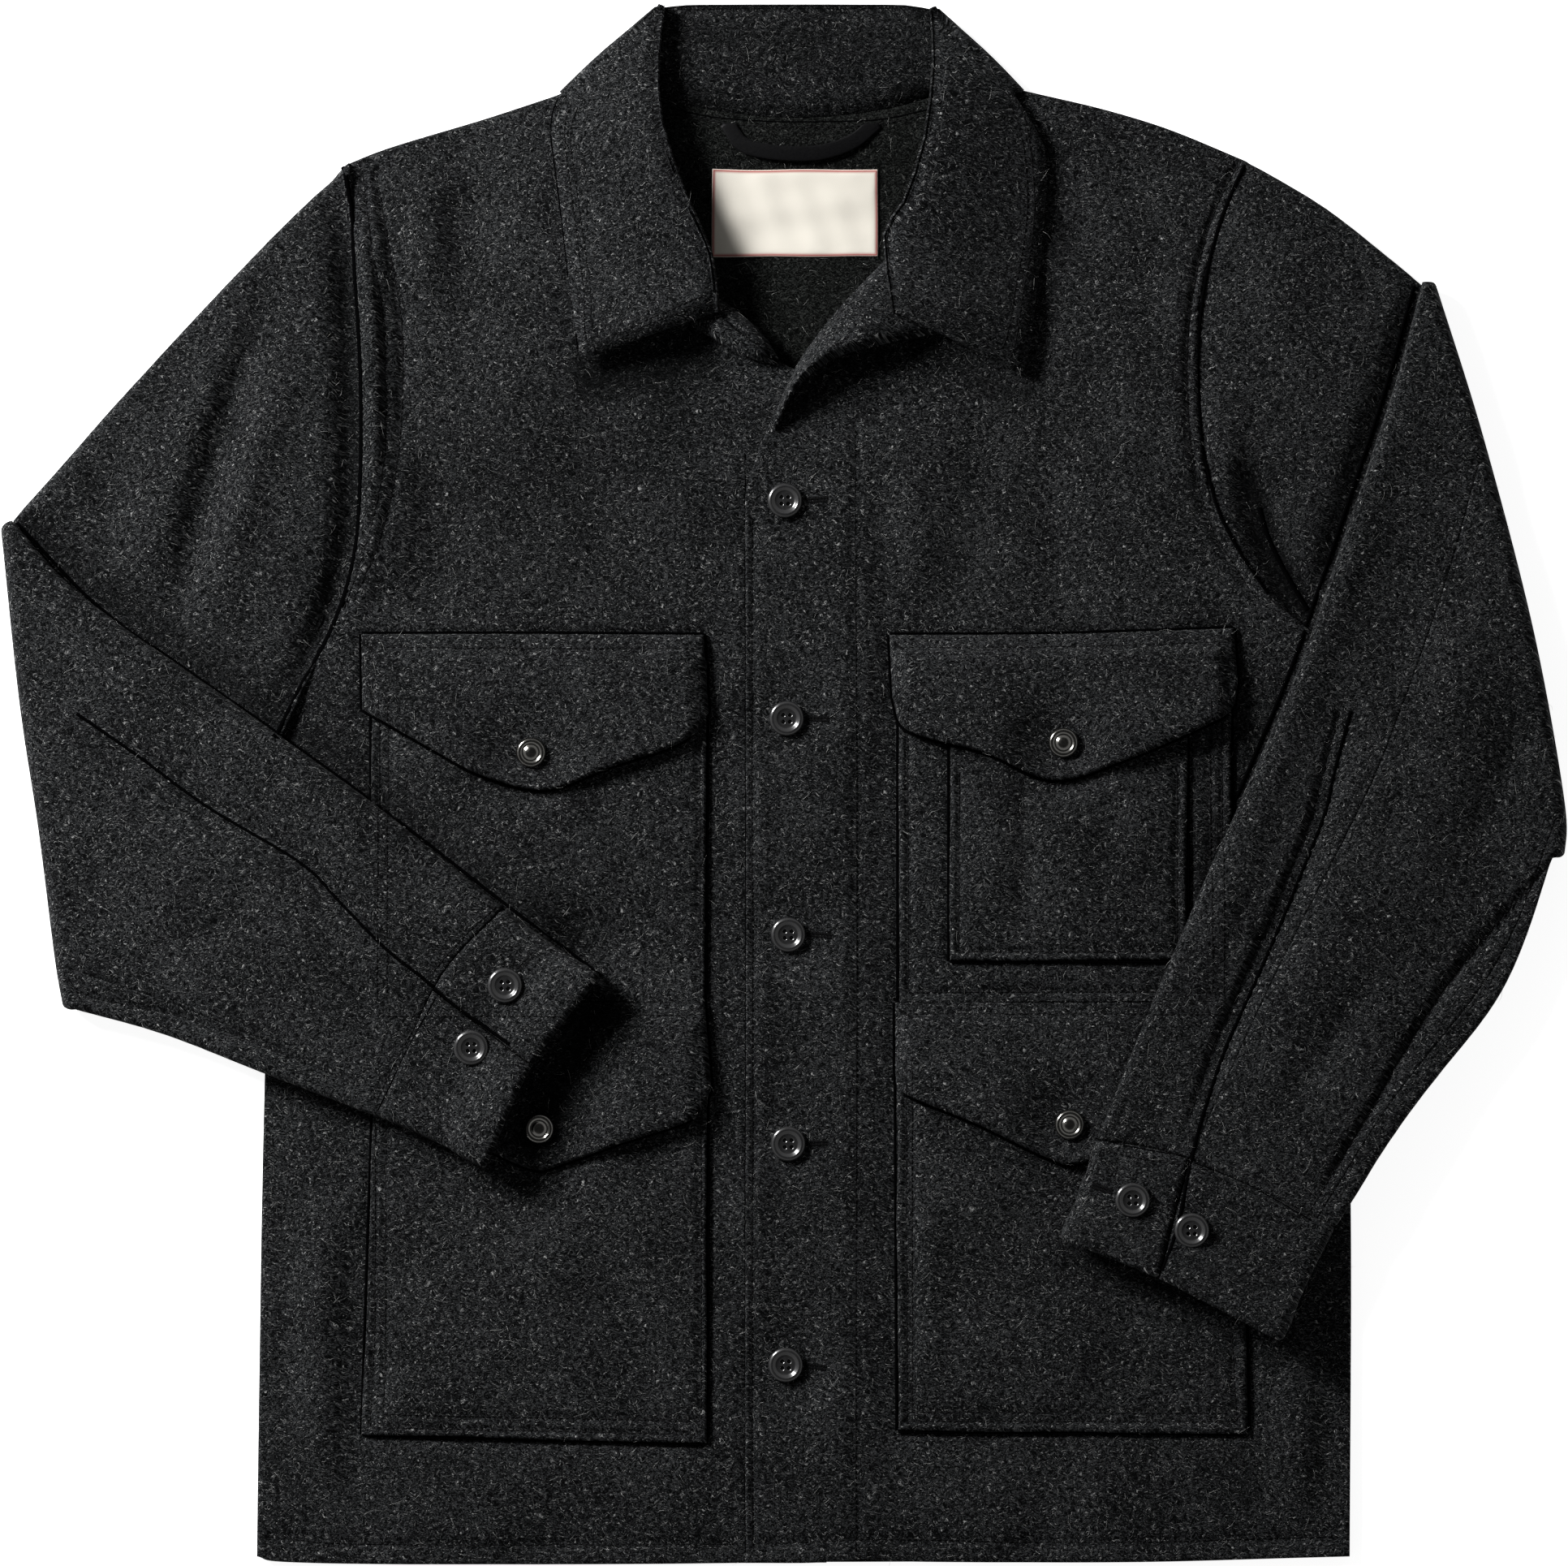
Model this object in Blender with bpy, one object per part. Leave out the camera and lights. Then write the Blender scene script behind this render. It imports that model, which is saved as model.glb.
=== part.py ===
# Mackinaw jacket laid flat on its back, sleeves folded over the front.
# Blender 4.5, metres, +Z up. The sizes below are in millimetres, with X across and Y toward the collar.
import math

import bmesh
import bpy
import numpy as np

MM = 0.001

# Driving sizes
CLOTH = 2.4            # one layer of wool
DOUBLE_CLOTH = 3.6     # two layers sewn together: flaps and cuffs
COLLAR_CLOTH = 2.8
GAP = 0.35             # clearance between layers that touch
SEAM_GAP = 0.9         # clearance between the collar and the curved neck edge
ARMHOLE_GAP = 1.3      # clearance between a sleeve and the curved armhole
LOFT = 3.0             # how far the fronts stand off the back in the middle
LOFT_CENTRE = 10.0
LOFT_HALF_WIDTH = 295.0
LOFT_AT_SHOULDER = 0.15
LOFT_AT_HEM = 0.35
SHOULDER_TOP = 372.0   # the shoulders fall away from here on both sides of the neck
SHOULDER_SLOPE = 0.3
SHOULDER_HALF_NECK = 70.0
SHOULDER_RUN = 90.0
HEM_LINE = -403.0
HEM_RUN = 60.0
SLEEVE_HEIGHT = 6.3    # both layers of a flat sleeve
CUFF_HEIGHT = 11.0
FOLD_RADIUS = 3.8      # of a sleeve's middle at the elbow fold
FOREARM_RISE = 10.0    # the forearm climbs this much on its way to the cuff
ROLL_RADIUS = 2.2      # of the collar's middle at its roll line
NECK_CENTRE = 6.0
NECK_LIFT = 4.2        # the neck rests on the collar's fall by this much
NECK_LIFT_HALF_WIDTH = 112.0
NECK_LIFT_EDGE = 344.0
NECK_LIFT_RUN = 70.0
OVER_EDGE = -20.0      # the over front's edge
UNDER_EDGE = 22.0      # the under front reaches this far past the centre
STEP_START = 30.0      # the over front comes down off the under front from here
STEP_RUN = 30.0
BUTTON_RADIUS = 9.0
BUTTON_HEIGHT = 3.4
SNAP_RADIUS = 7.8
SNAP_HEIGHT = 2.4
STACK_FRONT = CLOTH + GAP

# Outlines of the body, from the hem upward
SIDE_LEFT = [(-273, -400.5), (-271.5, -290), (-269, -157), (-263.5, -20), (-261, 25)]
ARMHOLE_LEFT = [(-261, 25), (-249, 52), (-232.5, 84), (-222.6, 117), (-219.7, 160), (-219.7, 211),
                (-221.8, 263), (-227, 320)]
SIDE_RIGHT = [(293, -400.5), (293.6, -225), (290, -60), (283, 70)]
ARMHOLE_RIGHT = [(283, 70), (270.5, 80.5), (250, 98), (236, 117), (224.5, 139), (217.5, 165),
                 (214, 214), (218, 262), (239, 322)]
HEM_UNDER = [(-273, -400.5), (-254, -403.5), (-150, -404.5), (UNDER_EDGE, -403.5)]
HEM_OVER = [(OVER_EDGE, -403.5), (15, -403.3), (40, -401.3), (70, -403), (180, -403.3), (293, -400.5)]
HEM_BACK = [(-272.5, -400), (-254, -402.5), (-150, -403.5), (180, -402.5), (292.5, -400)]
NECK_FRONT_LEFT = [(-37, 237), (-58, 262), (-76, 290), (-84, 325), (-80, 359)]
NECK_FRONT_RIGHT = [(50, 268), (66, 276), (86, 295), (96, 325), (92, 359)]
NECK_BACK = [(-80, 359), (-57, 351), (-28, 345), (6, 342.5), (40, 345), (69, 351), (92, 359)]
SHOULDER_LEFT = [(-227, 320), (-204, 329), (-154, 344), (-121, 354), (-106, 350.5), (-80, 359)]
SHOULDER_RIGHT = [(92, 359), (117, 351.5), (131, 356.5), (166, 348.5), (199, 338.5), (239, 322)]
EDGE_UNDER = [(UNDER_EDGE, -403.5), (UNDER_EDGE, 196)]
NECK_CORNER_UNDER = [(UNDER_EDGE, 196), (12, 210), (-1, 217), (-37, 237)]
EDGE_OVER = [(OVER_EDGE, -403.5), (OVER_EDGE, -100), (OVER_EDGE, 150)]
LAPEL_FOLD = [(OVER_EDGE, 150), (-13, 172), (-2, 198), (9, 220), (24, 239), (50, 268)]

# Where the over front's neck corner and the under front's neck corner roll outward
ROLL_OVER = {"fold": [(-6, 187), (4, 209), (20, 233), (46, 264)],
             "edge": [(-3, 186), (9, 206), (27, 220.5), (57, 223.5)]}
ROLL_UNDER = {"fold": [(-4, 222), (-14, 236), (-31, 248)],
              "edge": [(-3.5, 218.6), (-18, 221.5), (-31, 228)]}

# Sleeves: edge points in the laid shape. The outer edge runs over the shoulder side, the inner edge
# under the arm. fold runs from the outer edge to the inner edge, cuff_seam and cuff_end likewise.
SLEEVES = {
    "left": {
        "armhole": ARMHOLE_LEFT[::-1], "top": [(-227, 320), (-316, 227), (-398.5, 134)],
        "under": [(-261, 25), (-315, -42), (-366, -116)],
        "fold": [(-398.5, 134), (-389, 44), (-379, -23), (-370.5, -90), (-366, -116)],
        "forearm_outer": [(-398.5, 134), (-357, 91), (-261, 23), (-201, -20.5), (-144.5, -64.5)],
        "forearm_inner": [(-366, -116), (-309, -133), (-213, -170.5), (-209, -172)],
        "cuff_seam": [(-144.5, -64.5), (-178, -102), (-209, -172)],
        "cuff_end": [(-95.5, -100.5), (-130, -146), (-153, -196.5)],
        "seams": ((0.31, 0.42), (0.93, 0.90)), "slit": (0.44, 0.50)},
    "right": {
        "armhole": ARMHOLE_RIGHT[::-1], "top": [(239, 322), (283, 294), (330, 258)],
        "under": [(283, 70), (340, 22), (397, -38)],
        "fold": [(330, 258), (355, 178), (381, 78), (397, -10), (397, -38)],
        "forearm_outer": [(330, 258), (314, 198), (286, 115), (265, 55), (211, -67), (161, -183.5)],
        "forearm_inner": [(397, -38), (370, -107), (318, -174.5), (284.5, -228.5)],
        "cuff_seam": [(161, -183.5), (206, -193), (284.5, -228.5)],
        "cuff_end": [(143.6, -235), (191, -254), (254.5, -286.7)],
        "seams": ((0.30, 0.37), (0.95, 0.92)), "slit": (0.37, 0.43)}}

# Collar sections. Each row gives the neck seam, the roll line and the outer edge in plan, and the height
# of the seam, of the leaf at the roll and of the leaf at the edge. Rows marked under lie below the back.
COLLAR_COLUMNS = ("seam_x", "seam_y", "roll_x", "roll_y", "edge_x", "edge_y", "seam_z", "leaf_z", "edge_z")
COLLAR_UNDER = [
    (6, 343.5, 6, 399.5, 6, 347, 5.4, 1.5, 1.5),
    (-28, 346, -31, 399.5, -44, 348, 5.4, 1.5, 1.5),
    (-57, 352, -52, 399.5, -82, 352, 5.2, 1.5, 1.5)]
COLLAR_CORNER_Z = (4.8, 1.5, 1.5)
COLLAR_OVER_LEFT = [
    (-79, 363.5, -64.5, 398.5, -111.5, 353, 8.8, 14.2, 12.0),
    (-81.5, 345, -67.5, 372, -120.5, 336, 8.3, 14.2, 11.8),
    (-81.5, 320, -65.5, 340, -117, 305, 7.6, 14.0, 10.8),
    (-74, 293, -53.5, 303, -112, 262, 7.4, 13.6, 10.2),
    (-56, 265, -40, 272, -108, 232, 7.6, 13.0, 10.2),
    (-39.5, 240.5, -36.5, 242, -105, 218, 8.6, 12.4, 10.2)]
COLLAR_OVER_RIGHT = [
    (-78, 363.5, -66, 397.5, -107.5, 354, 8.8, 14.2, 12.0),
    (-81.5, 345, -67.5, 372, -122.5, 328, 8.3, 14.2, 11.8),
    (-81.5, 320, -63, 332, -122.5, 291, 8.0, 14.2, 10.8),
    (-70, 293, -52, 298, -119, 258, 8.0, 14.2, 10.4),
    (-56, 279, -42, 281, -115, 226, 9.6, 14.6, 10.4),
    (-48.5, 243, -47, 241.5, -111, 211, 11.2, 15.4, 10.6)]
WRAP_STEPS = (60, 30, 0, -30, -60)

# Patch pockets: corners from the lower left, anticlockwise
POCKETS = {
    "pocket_chest_right": [(-213, -111), (-41, -111), (-40, 63), (-213, 63)],
    "pocket_chest_left": [(59.5, -111), (231, -111), (231, 64), (59.5, 64)],
    "pocket_lower_right": [(-218, -336.5), (-40, -341), (-40, -130), (-211, -130)],
    "pocket_lower_left": [(59, -334.5), (240, -336), (236, -130), (58, -130)]}
PEN_POCKET = [(85.7, -91.5), (208, -91.5), (208, 40), (85.7, 40)]

# Flaps: top edge, then the lower edge from its left end to its right end
FLAPS = {
    "flap_chest_right": {"top": [(-218.5, 77), (-130, 77), (-41.5, 76.5)],
                         "lower": [(-218, 38), (-201, 28.5), (-179, 16), (-155, 3.5), (-123, -3.5),
                                   (-89, 8.5), (-53, 21), (-39, 36)]},
    "flap_chest_left": {"top": [(54.5, 76.5), (144, 77), (232.5, 80)],
                        "lower": [(56, 44), (64, 27), (104, 15.5), (139, 1.5), (176, 12),
                                  (216, 29), (231, 38), (234.5, 52)]},
    "flap_lower_right": {"top": [(-216, -115), (-130, -115), (-41, -115)],
                         "lower": [(-216, -152), (-199, -165), (-160, -186), (-130, -199.5), (-114, -196.5),
                                   (-85, -186), (-47, -173), (-37.5, -158)]},
    "flap_lower_left": {"top": [(57.5, -115), (144, -115), (237, -115)],
                        "lower": [(57.5, -150), (62, -160), (100, -176), (136, -193.5), (152, -196.5),
                                  (190, -184), (226, -168), (239, -150)]}}
FLAP_RISE_RUN = 12.0

BUTTONS = [(0.4, 146), (1.3, 33.4), (2.1, -78.3), (2.1, -186.3), (0.8, -300.5)]
CUFF_BUTTONS = {"left": [(-143.6, -104), (-161, -136)], "right": [(179.3, -214.4), (209.6, -230)]}
SNAPS = {"flap_chest_right": (-130.6, 15.8), "flap_chest_left": (144, 20.8),
         "flap_lower_right": (-126.4, -178.3), "flap_lower_left": (147.4, -176.2)}
LABEL = {"centre": (5.6, 295), "width": 86.0, "height": 45.0, "thick": 0.6}
HANGER = {"path": [(-30, 342), (-19, 329), (12, 325.5), (34, 331), (48, 342)], "width": 7.0, "thick": 0.8}

# Colours, roughness and metal of each material
MATERIALS = {
    "wool": ((0.023, 0.023, 0.026), 0.95, 0.0),
    "wool_inner": ((0.019, 0.019, 0.021), 0.95, 0.0),
    "button_black": ((0.012, 0.012, 0.013), 0.25, 0.0),
    "snap_metal": ((0.10, 0.095, 0.09), 0.35, 1.0),
    "loop_satin": ((0.01, 0.01, 0.011), 0.4, 0.0),
    "label_cloth": ((0.80, 0.77, 0.70), 0.8, 0.0)}


def material(name):
    """A Principled material from the table of colours."""
    found = bpy.data.materials.get(name)
    if found:
        return found
    colour, roughness, metallic = MATERIALS[name]
    made = bpy.data.materials.new(name)
    made.use_nodes = True
    shader = made.node_tree.nodes["Principled BSDF"]
    shader.inputs["Base Color"].default_value = (*colour, 1.0)
    shader.inputs["Roughness"].default_value = roughness
    shader.inputs["Metallic"].default_value = metallic
    made.diffuse_color = (*colour, 1.0)
    return made


def smooth(value):
    """0 to 1 with level ends."""
    value = np.clip(value, 0.0, 1.0)
    return value * value * (3.0 - 2.0 * value)


def along(points, fractions):
    """Points of a smooth curve through the given ones, at fractions of its length."""
    points = np.array(points, dtype=float)
    if len(points) > 2:
        before = 2 * points[0] - points[1]
        after = 2 * points[-1] - points[-2]
        padded = np.vstack([before, points, after])
        step = np.linspace(0, 1, 13)[:-1, None]
        spans = []
        for i in range(len(points) - 1):
            a, b, c, d = padded[i:i + 4]
            spans.append(0.5 * (2 * b + (c - a) * step + (2 * a - 5 * b + 4 * c - d) * step ** 2
                                + (3 * b - a - 3 * c + d) * step ** 3))
        points = np.vstack(spans + [points[-1:]])
    lengths = np.concatenate([[0], np.cumsum(np.linalg.norm(np.diff(points, axis=0), axis=1))])
    wanted = np.asarray(fractions) * lengths[-1]
    return np.stack([np.interp(wanted, lengths, points[:, k]) for k in range(points.shape[1])], axis=1)


def run(*pieces):
    """One edge made of several curves, each with its own number of steps."""
    parts = []
    for points, steps in pieces:
        part = along(points, np.linspace(0, 1, steps + 1))
        parts.append(part if not parts else part[1:])
    return np.vstack(parts)


def patch(bottom, top, left, right):
    """A grid filled between four edges that share their corners. Rows go from bottom to top."""
    u = share(bottom, top)[None, :, None]
    v = share(left, right)[:, None, None]
    corners = ((1 - u) * (1 - v) * bottom[0] + u * (1 - v) * bottom[-1]
               + (1 - u) * v * top[0] + u * v * top[-1])
    across = (1 - v) * bottom[None] + v * top[None]
    upward = (1 - u) * left[:, None] + u * right[:, None]
    return across + upward - corners


def share(first, second):
    """The mean share of length at each point of two facing edges."""
    shares = []
    for edge in (first, second):
        steps = np.linalg.norm(np.diff(edge, axis=0), axis=1)
        shares.append(np.concatenate([[0], np.cumsum(steps)]) / steps.sum())
    return (shares[0] + shares[1]) / 2


def cloth(name, lower, upper, stuff):
    """A closed wall between two grids of points in millimetres."""
    rows, columns = lower.shape[:2]
    mesh = bmesh.new()
    grids = []
    for grid in (lower, upper):
        grids.append([[mesh.verts.new(grid[i, j] * MM) for j in range(columns)] for i in range(rows)])
    for grid in grids:
        for i in range(rows - 1):
            for j in range(columns - 1):
                mesh.faces.new((grid[i][j], grid[i][j + 1], grid[i + 1][j + 1], grid[i + 1][j]))
    low, high = grids
    border = ([(i, 0) for i in range(rows)] + [(rows - 1, j) for j in range(1, columns)]
              + [(i, columns - 1) for i in range(rows - 2, -1, -1)] + [(0, j) for j in range(columns - 2, 0, -1)])
    for (a, b), (c, d) in zip(border, border[1:] + border[:1]):
        mesh.faces.new((low[a][b], low[c][d], high[c][d], high[a][b]))
    return finish(name, mesh, stuff, 40)


def finish(name, mesh, stuff, sharp_angle):
    """Faces outward, shading and material, and the object in the scene."""
    bmesh.ops.recalc_face_normals(mesh, faces=mesh.faces[:])
    data = bpy.data.meshes.new(name)
    mesh.to_mesh(data)
    mesh.free()
    data.shade_smooth()
    data.set_sharp_from_angle(angle=math.radians(sharp_angle))
    data.materials.append(material(stuff))
    made = bpy.data.objects.new(name, data)
    bpy.context.scene.collection.objects.link(made)
    return made


def lifted(plan, height):
    """Plan points with a height each."""
    return np.concatenate([plan, np.asarray(height)[..., None]], axis=-1)


def sheet(name, plan, low, thick, stuff="wool"):
    """A laid piece of cloth over its plan."""
    return cloth(name, lifted(plan, low), lifted(plan, low + thick), stuff)


def neck_lift(plan):
    """The neck is raised where the collar's fall lies beneath it."""
    across = np.maximum(0, np.abs(plan[..., 0] - NECK_CENTRE) - NECK_LIFT_HALF_WIDTH)
    down = np.maximum(0, NECK_LIFT_EDGE - plan[..., 1])
    return NECK_LIFT * (1 - smooth(np.hypot(across, down) / NECK_LIFT_RUN))


def loft(plan):
    """How far a front stands off the back: most in the middle, least at the sides, shoulders and hem."""
    x, y = plan[..., 0], plan[..., 1]
    sideways = 1 - ((x - LOFT_CENTRE) / LOFT_HALF_WIDTH) ** 4
    shoulder_line = SHOULDER_TOP - SHOULDER_SLOPE * (np.abs(x - NECK_CENTRE) - SHOULDER_HALF_NECK)
    shoulder = LOFT_AT_SHOULDER + (1 - LOFT_AT_SHOULDER) * smooth((shoulder_line - y) / SHOULDER_RUN)
    hem = LOFT_AT_HEM + (1 - LOFT_AT_HEM) * smooth((y - HEM_LINE) / HEM_RUN)
    return LOFT * sideways * shoulder * hem


def front_low(plan, over):
    """Underside of a front panel. The over front climbs on the under front near the buttons."""
    low = neck_lift(plan) + STACK_FRONT + loft(plan)
    if over:
        low = low + STACK_FRONT * (1 - smooth((plan[..., 0] - STEP_START) / STEP_RUN))
    return low


def front_top(plan):
    """Top of whichever front shows at each place."""
    over = plan[..., 0] > OVER_EDGE
    return np.where(over, front_low(plan, True), front_low(plan, False)) + CLOTH


def build_body():
    """The back and the two fronts."""
    side_steps, arm_steps = 12, 10
    back = patch(run((HEM_BACK, 20)), run((SHOULDER_LEFT, 6), (NECK_BACK, 8), (SHOULDER_RIGHT, 6)),
                 run((SIDE_LEFT, 9), (ARMHOLE_LEFT, 9)), run((SIDE_RIGHT, 9), (ARMHOLE_RIGHT, 9)))
    sheet("back", back, neck_lift(back), CLOTH, "wool_inner")
    share_under = (0, 0.12, 0.25, 0.4, 0.55, 0.7, 0.82, 0.9, 1)
    under = patch(along(HEM_UNDER, share_under), along(SHOULDER_LEFT, share_under),
                  run((SIDE_LEFT, side_steps), (ARMHOLE_LEFT, arm_steps)),
                  run((EDGE_UNDER, side_steps), (NECK_CORNER_UNDER, 4), (NECK_FRONT_LEFT, 6)))
    sheet("front_right", under, front_low(under, False), CLOTH)
    share_over = (0, 0.09, 0.15, 0.2, 0.26, 0.33, 0.45, 0.58, 0.72, 0.86, 1)
    over = patch(along(HEM_OVER, share_over), along(SHOULDER_RIGHT, share_over),
                 run((EDGE_OVER, side_steps), (LAPEL_FOLD, 5), (NECK_FRONT_RIGHT, 5)),
                 run((SIDE_RIGHT, side_steps), (ARMHOLE_RIGHT, arm_steps)))
    sheet("front_left", over, front_low(over, True), CLOTH)
    for name, roll in (("neck_roll_left", ROLL_OVER), ("neck_roll_right", ROLL_UNDER)):
        fold, edge = (along(roll[key], np.linspace(0, 1, 6)) for key in ("fold", "edge"))
        plan = patch(fold, edge, along([fold[0], edge[0]], np.linspace(0, 1, 4)),
                     along([fold[-1], edge[-1]], np.linspace(0, 1, 4)))
        low = front_low(plan, roll is ROLL_OVER) + CLOTH + SEAM_GAP
        sheet(name, plan, low, CLOTH)


def build_pockets():
    """Patch pockets, the small pocket on the left chest pocket, and the flaps over them."""
    steps = np.linspace(0, 1, 6)
    for name, corners in [*POCKETS.items(), ("pocket_small", PEN_POCKET)]:
        a, b, c, d = (np.array(corner, float) for corner in corners)
        plan = patch(along([a, b], steps), along([d, c], steps), along([a, d], steps), along([b, c], steps))
        low = front_top(plan) + GAP
        if name == "pocket_small":
            low = low + CLOTH + GAP
        sheet(name, plan, low, CLOTH)
    for name, edges in FLAPS.items():
        plan = flap_plan(edges)
        sheet(name, plan, flap_low(name, plan), DOUBLE_CLOTH)


def flap_plan(edges):
    """A flap's grid between its top edge and its dipped lower edge."""
    across = np.linspace(0, 1, 15)
    down = np.array([0, 0.16, 0.3, 0.6, 1.0])
    top, lower = along(edges["top"], across), along(edges["lower"], across)
    return patch(lower, top, along([lower[0], top[0]], 1 - down[::-1]), along([lower[-1], top[-1]], 1 - down[::-1]))


def flap_low(name, plan):
    """Underside of a flap: on the front at its top edge, then up on its pocket."""
    top = FLAPS[name]["top"][0][1]
    rise = smooth((top - plan[..., 1]) / FLAP_RISE_RUN)
    layers = 2 if name == "flap_chest_left" else 1
    return front_top(plan) + GAP + rise * layers * (CLOTH + GAP)


def sleeve_grid(side):
    """Middle surface of a folded sleeve as rows of ruled lines, each with a height and a slope angle."""
    data = SLEEVES[side]
    ruled = np.linspace(0, 1, 13)
    fold = along(data["fold"], ruled)
    arm_steps = 9 if side == "left" else 7
    armhole = along(data["armhole"], ruled)
    away = np.gradient(armhole, axis=0)[:, ::-1] * ((-1, 1) if side == "right" else (1, -1))
    armhole = armhole + away / np.linalg.norm(away, axis=1)[:, None] * ARMHOLE_GAP
    arm = patch(armhole, fold, along([armhole[0], *data["top"][1:]], np.linspace(0, 1, arm_steps)),
                along([armhole[-1], *data["under"][1:]], np.linspace(0, 1, arm_steps)))
    fore_steps = 15 if side == "left" else 19
    fore = patch(fold, along(data["cuff_seam"], ruled), along(data["forearm_outer"], np.linspace(0, 1, fore_steps)),
                 along(data["forearm_inner"], np.linspace(0, 1, fore_steps)))
    tangent = np.gradient(fold, axis=0)
    outward = np.stack([tangent[:, 1], -tangent[:, 0]], axis=1)
    outward /= np.linalg.norm(outward, axis=1)[:, None]
    if side == "left":
        outward = -outward * np.sign(outward[:, :1])
    else:
        outward = outward * np.sign(outward[:, :1])
    low = SLEEVE_HEIGHT / 2
    rows = [(grid, low, 0.0) for grid in arm[:-1]]
    for angle in (0, 30, 60, 90, 120, 150, 180):
        turn = math.radians(angle)
        rows.append((fold + outward * FOLD_RADIUS * math.sin(turn), low + FOLD_RADIUS * (1 - math.cos(turn)), turn))
    shares = np.linspace(0, 1, fore_steps)
    for k in range(1, fore_steps):
        rows.append((fore[k], low + 2 * FOLD_RADIUS + FOREARM_RISE * shares[k] ** 1.3, math.pi))
    plan = np.array([row[0] for row in rows])
    height = np.array([row[1] for row in rows])
    turn = np.array([row[2] for row in rows])
    normal = np.zeros((*plan.shape[:2], 3))
    normal[..., :2] = outward[None] * np.sin(turn)[:, None, None]
    normal[..., 2] = -np.cos(turn)[:, None]
    return plan, height, normal


def tube_wall(plan, height, normal, half, thick, first, last):
    """Inner and outer points of part of a flat tube. first and last say where the part starts and ends on
    the outer layer, as shares of each ruled line. Between them it goes round by the ruled line's start."""
    inner, outer = [], []
    for k, line in enumerate(plan):
        lengths = np.concatenate([[0], np.cumsum(np.linalg.norm(np.diff(line, axis=0), axis=1))])
        width = lengths[-1]
        inset = half / width
        start = (line[1] - line[0]) / np.linalg.norm(line[1] - line[0])
        end = (line[-1] - line[-2]) / np.linalg.norm(line[-1] - line[-2])
        row_inner, row_outer = [], []
        for place, sideways, up in section(first[k], last[k], inset):
            at = np.array([np.interp(place * width, lengths, line[:, c]) for c in (0, 1)])
            n = np.array([np.interp(place * width, lengths, normal[k, :, c]) for c in range(3)])
            direction = start if place < 0.5 else end
            base = np.array([*at, height[k]])
            way = sideways * np.array([*direction, 0.0]) + up * n
            row_inner.append(base + way * (half - thick))
            row_outer.append(base + way * half)
        inner.append(row_inner)
        outer.append(row_outer)
    return np.array(inner), np.array(outer)


def section(first, last, inset):
    """Half-oval section of a flat tube from place first on the outer layer, round the start of the line,
    along the inner layer, round its end and back to place last: (place, sideways, up) for each point."""
    points = [(place, 0.0, 1.0) for place in np.linspace(first, inset, 3)]
    points += [(inset, -math.sin(a), math.cos(a)) for a in np.radians((60, 120))]
    points += [(place, 0.0, -1.0) for place in np.linspace(inset, 1 - inset, 9)]
    points += [(1 - inset, math.sin(a), -math.cos(a)) for a in np.radians((60, 120))]
    points += [(place, 0.0, 1.0) for place in np.linspace(1 - inset, last, 2)]
    return points


def strip_wall(plan, height, normal, half, thick, first, last):
    """Inner and outer points of the strip of outer layer between two places."""
    inner, outer = [], []
    for k, line in enumerate(plan):
        places = np.linspace(first[k], last[k], 4)
        lengths = np.concatenate([[0], np.cumsum(np.linalg.norm(np.diff(line, axis=0), axis=1))])
        at = np.stack([np.interp(places * lengths[-1], lengths, line[:, c]) for c in (0, 1)], axis=1)
        n = np.stack([np.interp(places * lengths[-1], lengths, normal[k, :, c]) for c in range(3)], axis=1)
        base = lifted(at, np.full(len(places), height[k]))
        inner.append(base + n * (half - thick))
        outer.append(base + n * half)
    return np.array(inner), np.array(outer)


def trimmed(plan, start, end):
    """Plan rows with the first and last row drawn in by a clearance."""
    plan = plan.copy()
    for row, beside, amount in ((0, 1, start), (-1, -2, end)):
        way = plan[beside] - plan[row]
        plan[row] += way / np.linalg.norm(way, axis=1)[:, None] * amount
    return plan


def build_sleeves():
    """Each sleeve has a top sleeve, an under sleeve between the two seams, and a cuff."""
    for side in ("left", "right"):
        wearer = "right" if side == "left" else "left"
        data = SLEEVES[side]
        plan, height, normal = sleeve_grid(side)
        plan = trimmed(plan, 0, GAP)
        half = SLEEVE_HEIGHT / 2
        blend = np.linspace(0, 1, len(plan))
        (first_arm, first_cuff), (last_arm, last_cuff) = data["seams"]
        first = first_arm + (first_cuff - first_arm) * blend
        last = last_arm + (last_cuff - last_arm) * blend
        cloth(f"sleeve_top_{wearer}", *tube_wall(plan, height, normal, half, CLOTH, first, last), "wool")
        width = np.linalg.norm(plan[:, -1] - plan[:, 0], axis=1)
        cloth(f"sleeve_under_{wearer}",
              *strip_wall(plan, height, normal, half, CLOTH, first + GAP / width, last - GAP / width), "wool")
        build_cuff(wearer, data, height[-1])


def build_cuff(wearer, data, height):
    """A cuff is a flat band of double cloth, slit on its upper layer."""
    ruled = np.linspace(0, 1, 9)
    steps = np.linspace(0, 1, 5)
    seam, end = along(data["cuff_seam"], ruled), along(data["cuff_end"], ruled)
    plan = trimmed(patch(seam, end, along([seam[0], end[0]], steps), along([seam[-1], end[-1]], steps)), GAP, 0)
    levels = np.full(len(plan), height)
    normal = np.zeros((*plan.shape[:2], 3))
    normal[..., 2] = 1.0
    middle = data["slit"][0] + (data["slit"][1] - data["slit"][0]) * steps
    width = np.linalg.norm(plan[:, -1] - plan[:, 0], axis=1)
    walls = tube_wall(plan, levels, normal, CUFF_HEIGHT / 2, DOUBLE_CLOTH, middle - GAP / width, middle + GAP / width)
    cloth(f"cuff_{wearer}", *walls, "wool")


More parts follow.
